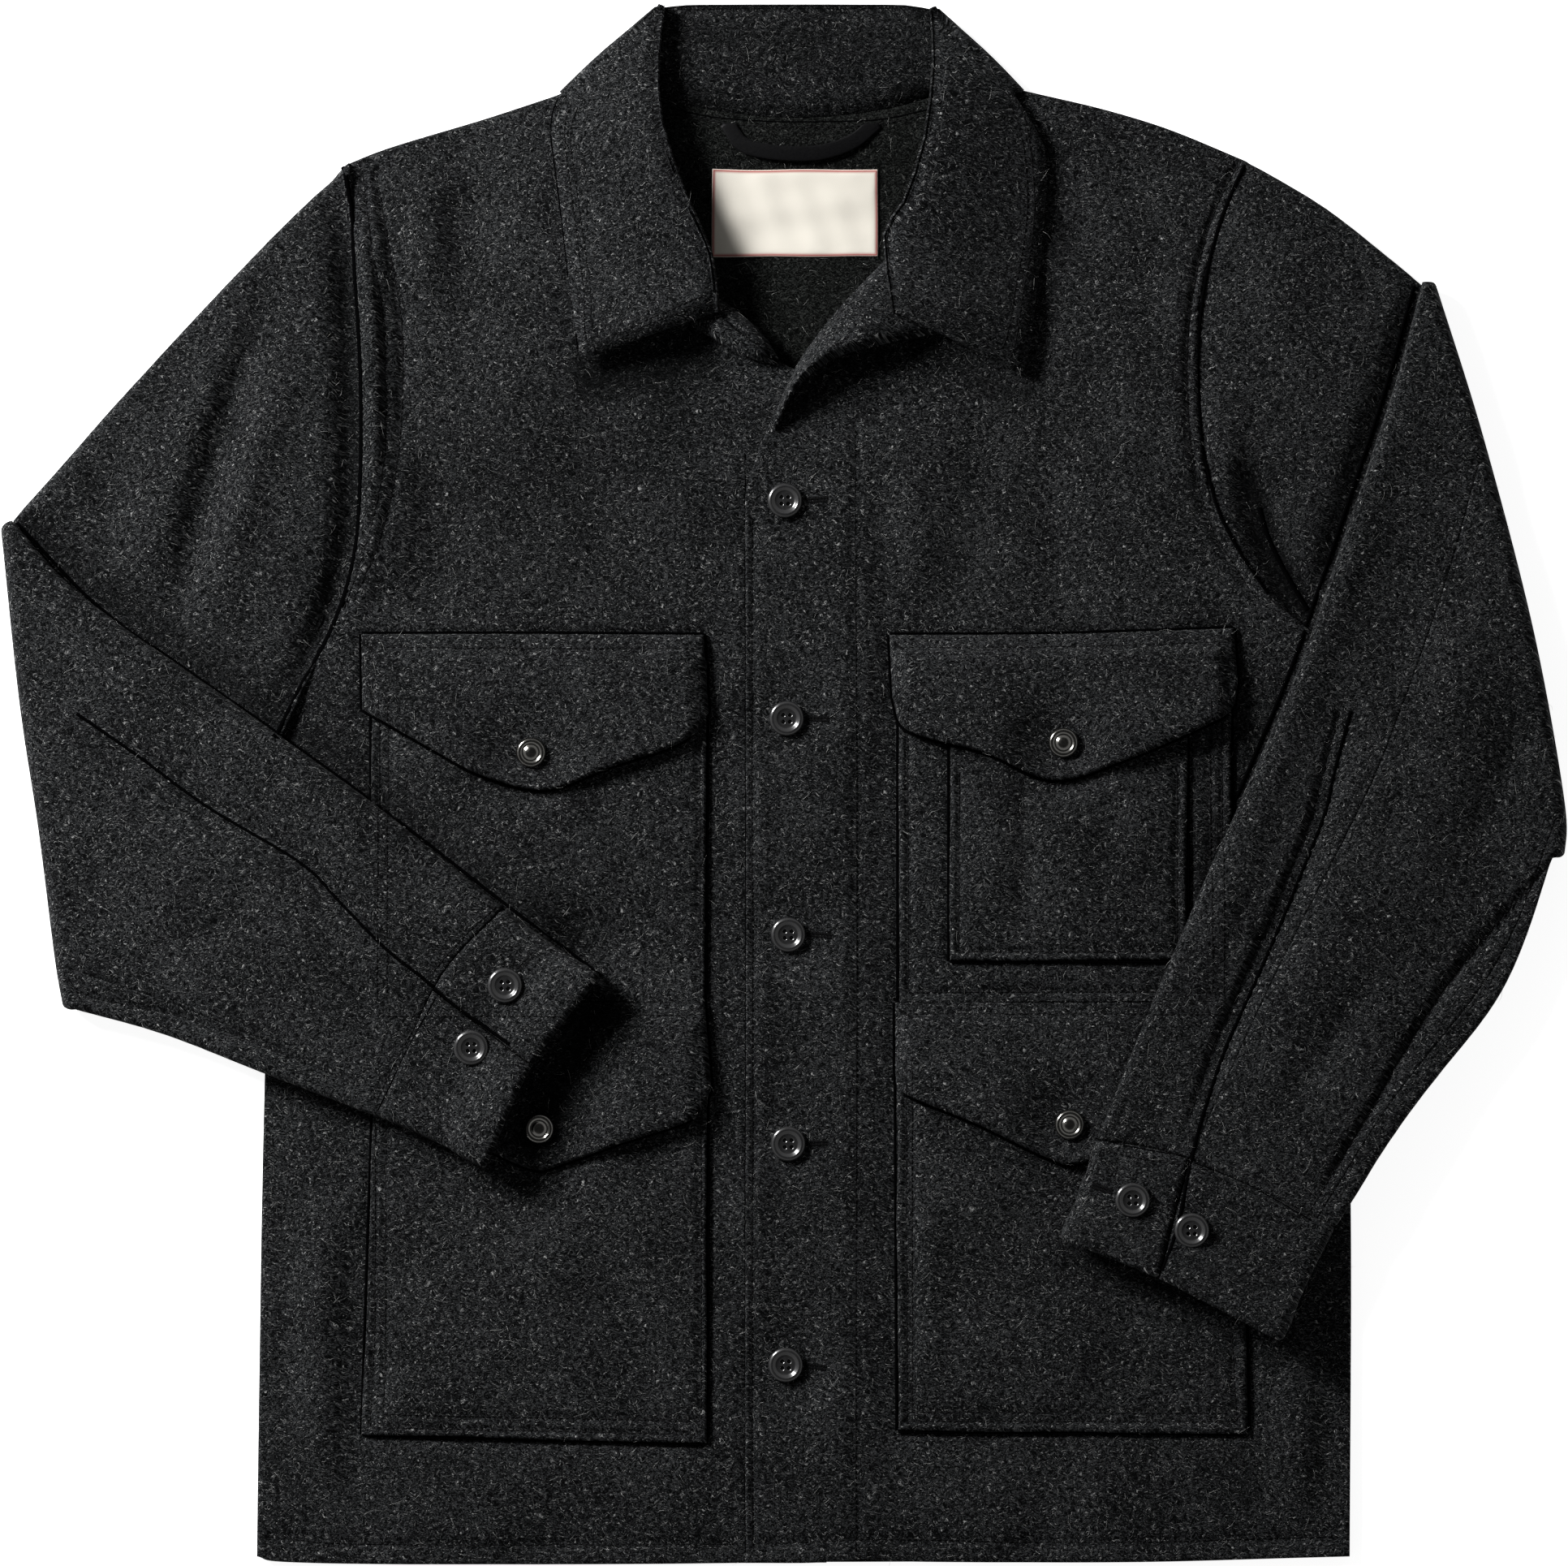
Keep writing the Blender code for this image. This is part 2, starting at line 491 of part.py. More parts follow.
def section_line(row, under):
    """Middle points of one collar section, from the neck seam over the roll to the outer edge."""
    at = dict(zip(COLLAR_COLUMNS, row))
    seam = np.array([at["seam_x"], at["seam_y"], at["seam_z"]], float)
    edge = np.array([at["edge_x"], at["edge_y"], at["edge_z"]], float)
    side = 1.0 if under else -1.0
    centre = np.array([at["roll_x"], at["roll_y"], at["leaf_z"] + side * ROLL_RADIUS], float)
    fall = edge[:2] - centre[:2]
    way = np.array([*(fall / np.linalg.norm(fall)), 0.0])
    points = [centre - way * ROLL_RADIUS * math.cos(a) + np.array([0, 0, side * ROLL_RADIUS * math.sin(a)])
              for a in np.radians((90, 54, 18, -18, -54, -90))]
    rise = points[0] - seam
    clear = min(0.3, SEAM_GAP / np.linalg.norm(rise))
    stand = [seam + rise * share for share in (clear, 0.5 + clear / 2)]
    leaf = [points[-1] + (edge - points[-1]) * share for share in (0.25, 0.5, 0.75, 1)]
    return np.array(stand + points + leaf)


def mirrored(rows):
    """Collar rows turned about the middle of the neck."""
    flipped = rows.copy()
    flipped[..., 0] = 2 * NECK_CENTRE - rows[..., 0]
    return flipped


def half_collar(over_rows):
    """Sections from the middle of the back round one corner to the collar's end."""
    under = [section_line(row, True) for row in COLLAR_UNDER]
    corner = section_line((*over_rows[0][:6], *COLLAR_CORNER_Z), True)
    over = [section_line(row, False) for row in over_rows]
    diagonal = corner[-1, :2] - corner[-5, :2]
    outward = np.array([diagonal[1], -diagonal[0]]) / np.linalg.norm(diagonal)
    outward = outward * np.sign(outward[1])
    wrap = []
    for angle in np.radians(WRAP_STEPS):
        middle, reach = (corner + over[0]) / 2, (over[0][:, 2] - corner[:, 2]) / 2
        line = middle.copy()
        line[:, 2] -= reach * math.sin(angle)
        line[:, :2] += outward[None] * (reach * math.cos(angle))[:, None]
        wrap.append(line)
    return np.array(under + [corner] + wrap + over)


def build_collar():
    """One piece: a stand and a fall, folded at the roll line and laid round the neck."""
    left = half_collar(COLLAR_OVER_LEFT)
    right = mirrored(half_collar(COLLAR_OVER_RIGHT))
    middle = np.concatenate([left[::-1], right[1:]])
    down = np.gradient(middle, axis=1)
    sideways = np.gradient(middle, axis=0)
    normal = np.cross(down, sideways)
    normal /= np.linalg.norm(normal, axis=-1)[..., None]
    cloth("collar", middle - normal * COLLAR_CLOTH / 2, middle + normal * COLLAR_CLOTH / 2, "wool")


def turned(name, centre, profile, sides, stuff):
    """A round piece from its profile of (radius, height) points, closed at the axis."""
    mesh = bmesh.new()
    rings = []
    for radius, z in profile:
        if radius == 0:
            rings.append([mesh.verts.new((0, 0, z * MM))])
            continue
        angles = [2 * math.pi * k / sides for k in range(sides)]
        rings.append([mesh.verts.new((radius * math.cos(a) * MM, radius * math.sin(a) * MM, z * MM)) for a in angles])
    for low, high in zip(rings, rings[1:]):
        for k in range(sides):
            corners = [low[k % len(low)], low[(k + 1) % len(low)], high[(k + 1) % len(high)], high[k % len(high)]]
            mesh.faces.new(list(dict.fromkeys(corners)))
    made = finish(name, mesh, stuff, 35)
    made.location = [value * MM for value in centre]
    return made


def build_fastenings():
    """Buttons down the over front and on the cuffs, and a snap on each flap."""
    r, h = BUTTON_RADIUS, BUTTON_HEIGHT
    button = [(0, 0), (r * 0.7, 0), (r, h * 0.45), (r * 0.93, h), (r * 0.72, h * 0.72), (0, h * 0.66)]
    for k, (x, y) in enumerate(BUTTONS, 1):
        top = float(front_top(np.array([x, y])))
        turned(f"button_front_{k}", (x, y, top + GAP), button, 16, "button_black")
    for side, places in CUFF_BUTTONS.items():
        wearer = "right" if side == "left" else "left"
        top = SLEEVE_HEIGHT / 2 + 2 * FOLD_RADIUS + FOREARM_RISE + CUFF_HEIGHT / 2
        for k, (x, y) in enumerate(places, 1):
            turned(f"button_cuff_{wearer}_{k}", (x, y, top + GAP), button, 16, "button_black")
    r, h = SNAP_RADIUS, SNAP_HEIGHT
    snap = [(0, 0), (r * 0.9, 0), (r, h * 0.3), (r * 0.86, h * 0.7), (r * 0.5, h), (0, h)]
    for flap, (x, y) in SNAPS.items():
        around = np.array([[x + dx, y + dy] for dx in (-6, 0, 6) for dy in (-6, 0, 6)], float)
        top = float(np.max(flap_low(flap, around))) + DOUBLE_CLOTH
        turned(flap.replace("flap", "snap"), (x, y, top + GAP), snap, 14, "snap_metal")


def build_neck_trim():
    """The bare label and the hanger loop inside the back of the neck."""
    (x, y), w, h = LABEL["centre"], LABEL["width"] / 2, LABEL["height"] / 2
    steps = np.linspace(0, 1, 4)
    a, b, c, d = (np.array(p, float) for p in ((x - w, y - h), (x + w, y - h), (x + w, y + h), (x - w, y + h)))
    plan = patch(along([a, b], steps), along([d, c], steps), along([a, d], steps), along([b, c], steps))
    sheet("label", plan, neck_lift(plan) + CLOTH + GAP, LABEL["thick"], "label_cloth")
    path = along(HANGER["path"], np.linspace(0, 1, 11))
    tangent = np.gradient(path, axis=0)
    side = np.stack([-tangent[:, 1], tangent[:, 0]], axis=1) / np.linalg.norm(tangent, axis=1)[:, None]
    plan = np.stack([path + side * HANGER["width"] * share for share in (-0.5, 0, 0.5)], axis=1)
    plan[..., 1] = np.minimum(plan[..., 1], 341)
    sheet("hanger_loop", plan, neck_lift(plan) + CLOTH + GAP, HANGER["thick"], "loop_satin")


def centre_on_origin():
    """Moves everything so that the origin is under the middle of the whole jacket."""
    made = [item for item in bpy.context.scene.objects if item.type == "MESH"]
    bpy.context.view_layer.update()
    points = np.array([item.matrix_world @ vertex.co for item in made for vertex in item.data.vertices])
    shift = (points.min(axis=0) + points.max(axis=0)) / 2
    for item in made:
        item.location.x -= shift[0]
        item.location.y -= shift[1]


def main():
    for old in list(bpy.data.objects):
        bpy.data.objects.remove(old, do_unlink=True)
    build_body()
    build_pockets()
    build_sleeves()
    build_collar()
    build_fastenings()
    build_neck_trim()
    centre_on_origin()


main()
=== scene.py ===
# Mackinaw jacket laid flat on a pale table. Sizes are in millimetres until a mesh is made.
import math

import bpy
import numpy as np
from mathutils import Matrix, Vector
from mathutils.bvhtree import BVHTree


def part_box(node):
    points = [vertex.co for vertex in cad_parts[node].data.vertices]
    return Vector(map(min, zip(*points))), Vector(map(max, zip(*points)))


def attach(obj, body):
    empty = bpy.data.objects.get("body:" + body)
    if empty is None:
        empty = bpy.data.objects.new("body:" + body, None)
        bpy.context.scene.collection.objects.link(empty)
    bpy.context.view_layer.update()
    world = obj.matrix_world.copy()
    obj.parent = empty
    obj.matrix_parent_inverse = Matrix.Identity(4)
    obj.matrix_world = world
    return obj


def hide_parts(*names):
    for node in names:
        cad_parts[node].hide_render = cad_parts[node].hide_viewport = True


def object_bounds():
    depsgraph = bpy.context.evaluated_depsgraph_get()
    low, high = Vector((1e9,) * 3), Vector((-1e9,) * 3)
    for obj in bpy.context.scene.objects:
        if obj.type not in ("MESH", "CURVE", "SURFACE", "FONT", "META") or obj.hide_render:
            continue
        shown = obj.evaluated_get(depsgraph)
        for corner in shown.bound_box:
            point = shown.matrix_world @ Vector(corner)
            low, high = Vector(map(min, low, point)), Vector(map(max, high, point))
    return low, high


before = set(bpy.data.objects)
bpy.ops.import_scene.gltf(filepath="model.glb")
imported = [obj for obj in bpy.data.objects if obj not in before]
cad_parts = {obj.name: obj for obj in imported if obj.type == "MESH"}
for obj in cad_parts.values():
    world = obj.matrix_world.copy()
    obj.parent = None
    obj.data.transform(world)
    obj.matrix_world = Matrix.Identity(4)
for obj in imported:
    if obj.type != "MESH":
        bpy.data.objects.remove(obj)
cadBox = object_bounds()
print("stage: frame loaded,", len(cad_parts), "nodes")

# Sizes shared by every piece of cloth, and the dots of the reference picture
cut = {"cloth": 2.4, "doubleCloth": 3.6, "collarCloth": 2.8, "gap": 0.35, "seamGap": 0.9, "tuck": -2.0,
       "neckCentre": 6.0, "overEdge": -20.0, "seed": 20, "coarse": 4}
picture = {"dot": 0.42, "middle": (966.0, 964.5), "width": 1932}
stack = cut["cloth"] + cut["gap"]
firstButton = (0.4, 146.0)
low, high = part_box("button_front_1")
shift = np.array([(low[0] + high[0]) * 500 - firstButton[0], (low[1] + high[1]) * 500 - firstButton[1], 0.0])


# Grids, curves and shells

def smooth(t):
    # 3t^2 - 2t^3 between 0 and 1
    t = np.clip(t, 0.0, 1.0)
    return t * t * (3.0 - 2.0 * t)


def bell(t):
    # e to the power of minus t squared
    return np.exp(-np.square(t))


def shares(count):
    # even steps from 0 to 1
    return np.linspace(0, 1, count)


def fadedEnds(share, run):
    # smooth(share / run) * smooth((1 - share) / run): 0 at both ends of a path, 1 along its middle
    return smooth(share / run) * smooth((1 - share) / run)


def unit(vectors):
    # each vector divided by its length
    return vectors / np.linalg.norm(vectors, axis=-1)[..., None]


def place(path):
    # x, y, x, y ... in dots of the picture as points in millimetres: (x - middle) * dot, (middle - y) * dot
    return (np.array(path, float).reshape(-1, 2) - picture["middle"]) * (picture["dot"], -picture["dot"])


def lengthsOf(points):
    # running length of a line of points
    return np.concatenate([[0.0], np.cumsum(np.linalg.norm(np.diff(points, axis=0), axis=1))])


def resample(points, wanted):
    # points of a line at the wanted shares of its length
    lengths = lengthsOf(points)
    wanted = np.asarray(wanted) * lengths[-1]
    return np.stack([np.interp(wanted, lengths, column) for column in points.T], axis=1)


def bend(points, steps=12):
    # a curve through the points: each span weighs its four nearest points with cubics of t
    points = np.asarray(points, float)
    if len(points) < 3:
        return points
    padded = np.vstack([2 * points[0] - points[1], points, 2 * points[-1] - points[-2]])
    t = shares(steps + 1)[:-1][None, :, None]
    a, b, c, d = (padded[k:len(points) - 1 + k][:, None] for k in range(4))
    spans = 0.5 * (2 * b + (c - a) * t + (2 * a - 5 * b + 4 * c - d) * t ** 2 + (3 * b - a - 3 * c + d) * t ** 3)
    return np.vstack([spans.reshape(-1, points.shape[1]), points[-1:]])


def along(points, count):
    # a smooth curve through the points, at even steps of its length
    return resample(bend(points), shares(count))


def edge(*curves):
    # several smooth curves end to end, as one line with its corners kept
    return np.vstack([bend(curve)[min(k, 1):] for k, curve in enumerate(curves)])


def spread(length, step, rim=(0, 0.35, 0.8, 1.4, 2.2, 3.2, 4.6, 6.2, 8.0)):
    # shares of an edge: the rim distances at both ends and even steps between, 4k + 1 in all
    rim = np.array(rim, float)
    inner = max(1, round((length - 2 * rim[-1]) / step))
    inner += (2 - 2 * len(rim) - inner) % cut["coarse"]
    middle = np.linspace(rim[-1], length - rim[-1], inner + 1)[1:-1]
    return np.concatenate([rim, middle, length - rim[::-1]]) / length


def meanShares(first, second):
    # mean share of length at each point of two facing edges
    return (lengthsOf(first) / lengthsOf(first)[-1] + lengthsOf(second) / lengthsOf(second)[-1]) / 2


def patch(bottom, top, left, right):
    # Coons patch: the two ruled surfaces of facing edges, less the bilinear blend of the four corners
    u = meanShares(bottom, top)[None, :, None]
    v = meanShares(left, right)[:, None, None]
    corners = ((1 - u) * (1 - v) * bottom[0] + u * (1 - v) * bottom[-1] + (1 - u) * v * top[0] + u * v * top[-1])
    return (1 - v) * bottom[None] + v * top[None] + (1 - u) * left[:, None] + u * right[:, None] - corners


def panel(bottom, top, left, right, step):
    # a patch whose grid is close at the rim and even inside; edges are lines of points that share corners
    across = spread((lengthsOf(bottom)[-1] + lengthsOf(top)[-1]) / 2, step)
    upward = spread((lengthsOf(left)[-1] + lengthsOf(right)[-1]) / 2, step)
    return patch(resample(bottom, across), resample(top, across), resample(left, upward), resample(right, upward))


def between(bottom, top, step):
    # a panel between two lines, straight at its sides
    return panel(bottom, top, np.array([bottom[0], top[0]]), np.array([bottom[-1], top[-1]]), step)


def rectangle(corners, step):
    # a panel from four corners, the lower two first
    a, b, c, d = np.array(corners, float)
    return between(np.array([a, b]), np.array([d, c]), step)


def rimDistance(grid, sides="nsew"):
    # distance from each grid point to the nearest of the named sides, along the grid's own lines
    up = np.cumsum(np.linalg.norm(np.diff(grid, axis=0, prepend=grid[:1]), axis=-1), axis=0)
    right = np.cumsum(np.linalg.norm(np.diff(grid, axis=1, prepend=grid[:, :1]), axis=-1), axis=1)
    found = {"s": up, "n": up[-1:] - up, "w": right, "e": right[:, -1:] - right}
    return np.min([found[side] for side in sides], axis=0)


def rounded(distance, radius):
    # quarter circle: 0 at the rim, 1 from the radius inward
    t = np.clip(1 - distance / radius, 0, 1)
    return np.sqrt(1 - t * t)


def ripple(plan, seed, waves, height, count=10):
    # a sum of sines, each with its own direction, length and start
    rng = np.random.default_rng(seed)
    total = np.zeros(plan.shape[:-1])
    for length in rng.uniform(*waves, size=count):
        angle, phase = rng.uniform(0, 2 * math.pi, 2)
        run = plan[..., 0] * math.cos(angle) + plan[..., 1] * math.sin(angle)
        total += np.sin(run * 2 * math.pi / length + phase)
    return total * height / math.sqrt(count)


def nearestOn(plan, line, reach):
    # distance to a line of points and the share along it, for grid points within reach; far points get reach
    flat = plan[..., :2].reshape(-1, 2)
    distance, share = np.full(len(flat), float(reach)), np.zeros(len(flat))
    near = np.all((flat > line.min(axis=0) - reach) & (flat < line.max(axis=0) + reach), axis=1)
    if near.any():
        gaps = np.linalg.norm(flat[near][:, None] - line[None], axis=-1)
        nearest = gaps.argmin(axis=1)
        distance[near] = gaps[np.arange(len(nearest)), nearest]
        share[near] = nearest / (len(line) - 1)
    return distance.reshape(plan.shape[:-1]), share.reshape(plan.shape[:-1])


def relief(plan, creases):
    # each crease adds height * bell(distance / width), faded over the first and last 0.3 of its path
    total = np.zeros(plan.shape[:-1])
    for width, height, *path in creases:
        distance, share = nearestOn(plan, along(place(path), 50), 3 * width)
        total += height * bell(distance / width) * fadedEnds(share, 0.3)
    return total


def stitchLine(row):
    # a row of stitches as a line in millimetres: smooth, or from corner to corner where it is named straight
    if isinstance(row, np.ndarray):
        return row
    return place(row[1:]) if row[0] == "straight" else bend(place(row))


def groove(plan, rows, depth=1.6, width=1.8):
    # sewing pulls the cloth in: depth * bell(distance / width) along every row of stitches
    total = np.zeros(plan.shape[:-1])
    for line in map(stitchLine, rows):
        line = resample(line, shares(max(20, int(lengthsOf(line)[-1] / 1.2))))
        total = np.minimum(total, -depth * bell(nearestOn(plan, line, 3 * width)[0] / width))
    return total


# Painted shade: soft darkening painted into the wool's colour where layers meet and less light reaches the wool:
# starts of the pieces' names, the highest height, then for each band its half width, the share of the colour taken
# away, and x, y of its path
paintedShadeBands = [
    (("clothFront", "clothPocket", "clothFlap"), 40,
        [(13, 0.5, 330, 872, 400, 925, 490, 1000, 622, 1104, 745, 1196),
            (17, 0.82, 765, 1212, 722, 1272, 694, 1325, 672, 1375, 640, 1440),
            (9, 0.4, 1590, 800, 1532, 960, 1472, 1120, 1412, 1270, 1350, 1400),
            (9, 0.45, 1300, 1530, 1400, 1580, 1500, 1612), (17, 0.72, 690, 465, 760, 465, 830, 446, 890, 424),
            (55, 0.17, 480, 640, 640, 600, 860, 560),
            (9, 0.55, 1285, 440, 1262, 478, 1225, 478, 1180, 446, 1105, 418),
            (10, 0.5, 1110, 446, 1060, 446, 1020, 466, 984, 500, 958, 545),
            (8, 0.35, 1260, 150, 1298, 220, 1300, 300, 1284, 420)]),
    (("clothSleeve",), 13,
        [(7, 0.6, 411, 235, 426, 340, 432, 479, 434, 607, 398, 745, 332, 900),
            (12, 0.5, 0, 610, 60, 672, 124, 724, 240, 810, 345, 888, 400, 930),
            (9, 0.85, 1528, 560, 1543, 605, 1569, 686, 1618, 775),
            (13, 0.5, 1765, 330, 1742, 400, 1706, 500, 1664, 620, 1615, 760)]),
    (("clothCollar",), 40,
        [(10, 0.6, 836, 0, 838, 60, 848, 110, 866, 150), (9, 0.6, 1132, 0, 1132, 70, 1120, 110, 1104, 150),
            (32, 0.42, 800, 40, 900, 50, 1050, 50, 1160, 40), (22, 0.3, 1215, 90, 1240, 280, 1240, 470)])]


def darkened(name, grid):
    # the painted shade: the greatest share * bell(distance / width) over the piece's shade bands, for cloth below the
    # highest height
    shade = np.zeros(grid.shape[:-1])
    for starts, highest, paths in paintedShadeBands:
        for width, share, *path in paths if name.startswith(starts) else ():
            distance, at = nearestOn(grid, along(place(path), 60), 3 * width)
            below = grid[..., 2] < highest
            shade = np.maximum(shade, share * bell(distance / width) * fadedEnds(at, 0.12) * below)
    return shade


def quadsOf(index, closed=False):
    # corners of every cell in grids of vertex numbers, whose columns may close into rings
    index = np.concatenate([index, index[..., :1]], axis=-1) if closed else index
    corners = index[..., :-1, :-1], index[..., :-1, 1:], index[..., 1:, 1:], index[..., 1:, :-1]
    return np.stack(corners, axis=-1).reshape(-1, 4)


def turnedOver(quads):
    # the same quads, facing the other way
    return quads[:, [0, 3, 2, 1]]


def meshOf(name, points, *faces):
    # points in millimetres and arrays of faces as a mesh in metres
    mesh = bpy.data.meshes.new(name)
    mesh.from_pydata(((points + shift) * 0.001).tolist(), [], [face for part in faces for face in part.tolist()])
    return mesh


def loopOf(grid):
    # border of a grid of numbers, once round
    return np.concatenate([grid[0, :-1], grid[:-1, -1], grid[-1, :0:-1], grid[:0:-1, 0]])


def flatCut(grid):
    # where the wool's pattern is read: (x + 0.7 z, y - 0.7 z), so that no face, flat or upright, stretches it
    return grid[..., :2] + 0.7 * grid[..., 2:] * (1, -1)


def bothSides(high, low=None):
    # a list of the upper grid's values, then the lower grid's at every fourth point, the upper grid's if not given
    low = (high if low is None else low)[::cut["coarse"], ::cut["coarse"]]
    return np.concatenate([part.reshape(-1, *high.shape[2:]) for part in (high, low)])


def pointValues(mesh, name, values):
    # a named number for each point of a shell, given on its upper grid
    mesh.attributes.new(name, "FLOAT", "POINT").data.foreach_set("value", bothSides(values))


def addPiece(name, mesh, finish):
    # the mesh as a smooth piece at the origin, riding on the only body
    made = bpy.data.objects.new(name, mesh)
    bpy.context.scene.collection.objects.link(made)
    mesh.polygons.foreach_set("use_smooth", np.ones(len(mesh.polygons), bool))
    mesh.materials.append(finishes[finish])
    mesh.update()
    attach(made, "root")
    return made


def shell(name, low, high, finish):
    # closed cloth: the upper grid as it is, the lower grid at every fourth point, long faces round the rim
    coarse = cut["coarse"]
    top = np.arange(high[..., 0].size).reshape(high.shape[:2])
    under = top[::coarse, ::coarse]
    under = top.size + np.arange(under.size).reshape(under.shape)
    topLoop, lowLoop = loopOf(top), loopOf(under)
    upperRim = topLoop[(np.arange(len(lowLoop))[:, None] * coarse + np.arange(coarse, -1, -1)) % len(topLoop)]
    sides = np.vstack([quadsOf(top), turnedOver(quadsOf(under))])
    points = bothSides(high, low)
    mesh = meshOf(name, points, sides, np.hstack([lowLoop[:, None], np.roll(lowLoop, -1)[:, None], upperRim]))
    # the sum of the tetrahedra from the middle to each face is negative where the faces point inward
    a, b, c, d = (points - points.mean(axis=0))[sides.T]
    if (a * (np.cross(b, c) + np.cross(c, d))).sum() < 0:
        mesh.flip_normals()
    corners = np.zeros(len(mesh.loops), int)
    mesh.loops.foreach_get("vertex_index", corners)
    offset = np.random.default_rng(len(name) * 31 + sum(map(ord, name))).uniform(0, 3, 2)
    flat = bothSides(flatCut(high))[corners] * 0.001 + offset
    mesh.uv_layers.new(name="clothFlat").uv.foreach_set("vector", flat.ravel())
    if finish.startswith("wool"):
        # painted shade for each point, kept in the attribute named hollow for the wool's colour
        pointValues(mesh, "hollow", darkened(name, high))
    made = addPiece(name, mesh, finish)
    mesh.polygons.foreach_set("use_smooth", np.arange(len(mesh.polygons)) < len(sides))
    return made


def lifted(plan, height):
    # plan points with a height each
    return np.concatenate([plan[..., :2], height[..., None]], axis=-1)


def laid(name, plan, low, thick, finish, extra=0.0, roundSides="nsew", radius=2.4, lip=0.45):
    # cloth on a plan: low, and low + thick rounded down toward its free sides, plus relief of its own
    distance = rimDistance(lifted(plan, low), roundSides)
    full = lip + (1 - lip) * rounded(distance, radius)
    high = low + thick * full + extra * smooth(distance / 5.0)
    return shell(name, lifted(plan, low), lifted(plan, high), finish)


# Materials

finishes = {}


class Chain:
    # adds shader nodes to one tree: in_X goes to the input named or numbered X, anything else to the node itself
    def __init__(self, tree):
        self.tree = tree

    def feed(self, node, **values):
        for key, value in values.items():
            slotName = key[3:].replace("_", " ")
            if not key.startswith("in_"):
                setattr(node, key, value)
            elif isinstance(value, bpy.types.NodeSocket):
                self.tree.links.new(value, node.inputs[int(slotName) if slotName.isdigit() else slotName])
            else:
                node.inputs[int(slotName) if slotName.isdigit() else slotName].default_value = value
        return node

    def add(self, kind, **values):
        return self.feed(self.tree.nodes.new("ShaderNode" + kind), **values)

    def math(self, operation, a, b=0.0):
        return self.add("Math", operation=operation, in_0=a, in_1=b).outputs[0]

    def noise(self, vector, scale, detail=2.0, roughness=0.5, dimensions="2D", out="Fac"):
        return self.add("TexNoise", noise_dimensions=dimensions, in_Vector=vector, in_Scale=scale,
                        in_Detail=detail, in_Roughness=roughness).outputs[out]

    def range(self, value, low, high, toLow=0.0, toHigh=1.0):
        return self.add("MapRange", interpolation_type="SMOOTHSTEP", in_Value=value, in_1=low, in_2=high,
                        in_3=toLow, in_4=toHigh).outputs[0]

    def mix(self, factor, a, b):
        return self.add("Mix", data_type="RGBA", in_0=factor, in_6=a, in_7=b).outputs[2]


def newGroup(name, inputs, outputs):
    # a shader node group with named sockets: (name, kind, value) for each input
    group = bpy.data.node_groups.new(name, "ShaderNodeTree")
    for socketName, kind, value in inputs:
        socket = group.interface.new_socket(socketName, in_out="INPUT", socket_type="NodeSocket" + kind)
        if value is not None:
            socket.default_value = value
    for socketName, kind in outputs:
        group.interface.new_socket(socketName, in_out="OUTPUT", socket_type="NodeSocket" + kind)
    chain = Chain(group)
    return group, chain, group.nodes.new("NodeGroupInput").outputs, group.nodes.new("NodeGroupOutput")


heatherForm = {"curlScale": 210.0, "curl": 0.0060, "streakScale": (400.0, 2000.0, 1.0),
               "streakAngles": (0.35, 1.15, 1.95, 2.75)}


def makeHeather():
    # fulled wool: curled streaks in four directions for the pale fibres, fine grain, and two sizes of mottling
    group, c, given, out = newGroup(
        "heatheredWool",
        [("Vector", "Vector", None), ("Ground", "Color", (0.010, 0.010, 0.011, 1)),
         ("Fibre", "Color", (0.05, 0.05, 0.055, 1)), ("Fleck", "Color", (0.30, 0.30, 0.30, 1)),
         ("Fleck Share", "Float", 0.5)], [("Color", "Color"), ("Height", "Float")])
    form, at = heatherForm, given["Vector"]
    curl = c.noise(at, form["curlScale"], out="Color")
    centred = c.add("VectorMath", operation="SUBTRACT", in_0=curl, in_1=(0.5, 0.5, 0.5)).outputs[0]
    pulled = c.add("VectorMath", operation="SCALE", in_0=centred, in_Scale=form["curl"]).outputs[0]
    warped = c.add("VectorMath", operation="ADD", in_0=at, in_1=pulled).outputs[0]
    turned = (c.add("Mapping", in_Vector=warped, in_Rotation=(0, 0, angle), in_Scale=form["streakScale"]).outputs[0]
              for angle in form["streakAngles"])
    streaks = [c.noise(way, 1.0, 1.0) for way in turned]
    widest = c.math("MAXIMUM", c.math("MAXIMUM", *streaks[:2]), c.math("MAXIMUM", *streaks[2:]))
    grain = c.noise(at, 1100.0, 2.0, 0.6)
    mottle = c.noise(at, 330.0, 3.0, 0.6)
    patchy = c.noise(at, 26.0)
    fleck = c.range(widest, 0.70, 0.82)
    sparse = c.range(c.noise(at, 420.0, 1.0), 0.42, 0.62)
    fleck = c.math("MULTIPLY", c.math("MULTIPLY", fleck, sparse), given["Fleck Share"])
    strands = c.math("MULTIPLY", c.range(widest, 0.52, 0.78), c.range(grain, 0.34, 0.66, 0.1, 1.9))
    strands = c.math("MULTIPLY", strands, c.range(mottle, 0.3, 0.7, 0.45, 1.55))
    strands = c.math("MULTIPLY", strands, c.range(patchy, 0.3, 0.7, 0.7, 1.3))
    ground = c.mix(strands, given["Ground"], given["Fibre"])
    c.feed(out, in_Color=c.mix(fleck, ground, given["Fleck"]))
    c.feed(out, in_Height=c.math("ADD", c.math("MULTIPLY", grain, 0.5), widest))
    return group


def newMaterial(name):
    # an empty material with its Principled shader, and a chain to add nodes with
    made = bpy.data.materials.new(name)
    made.use_nodes = True
    finishes[name] = made
    return Chain(made.node_tree), made.node_tree.nodes["Principled BSDF"]


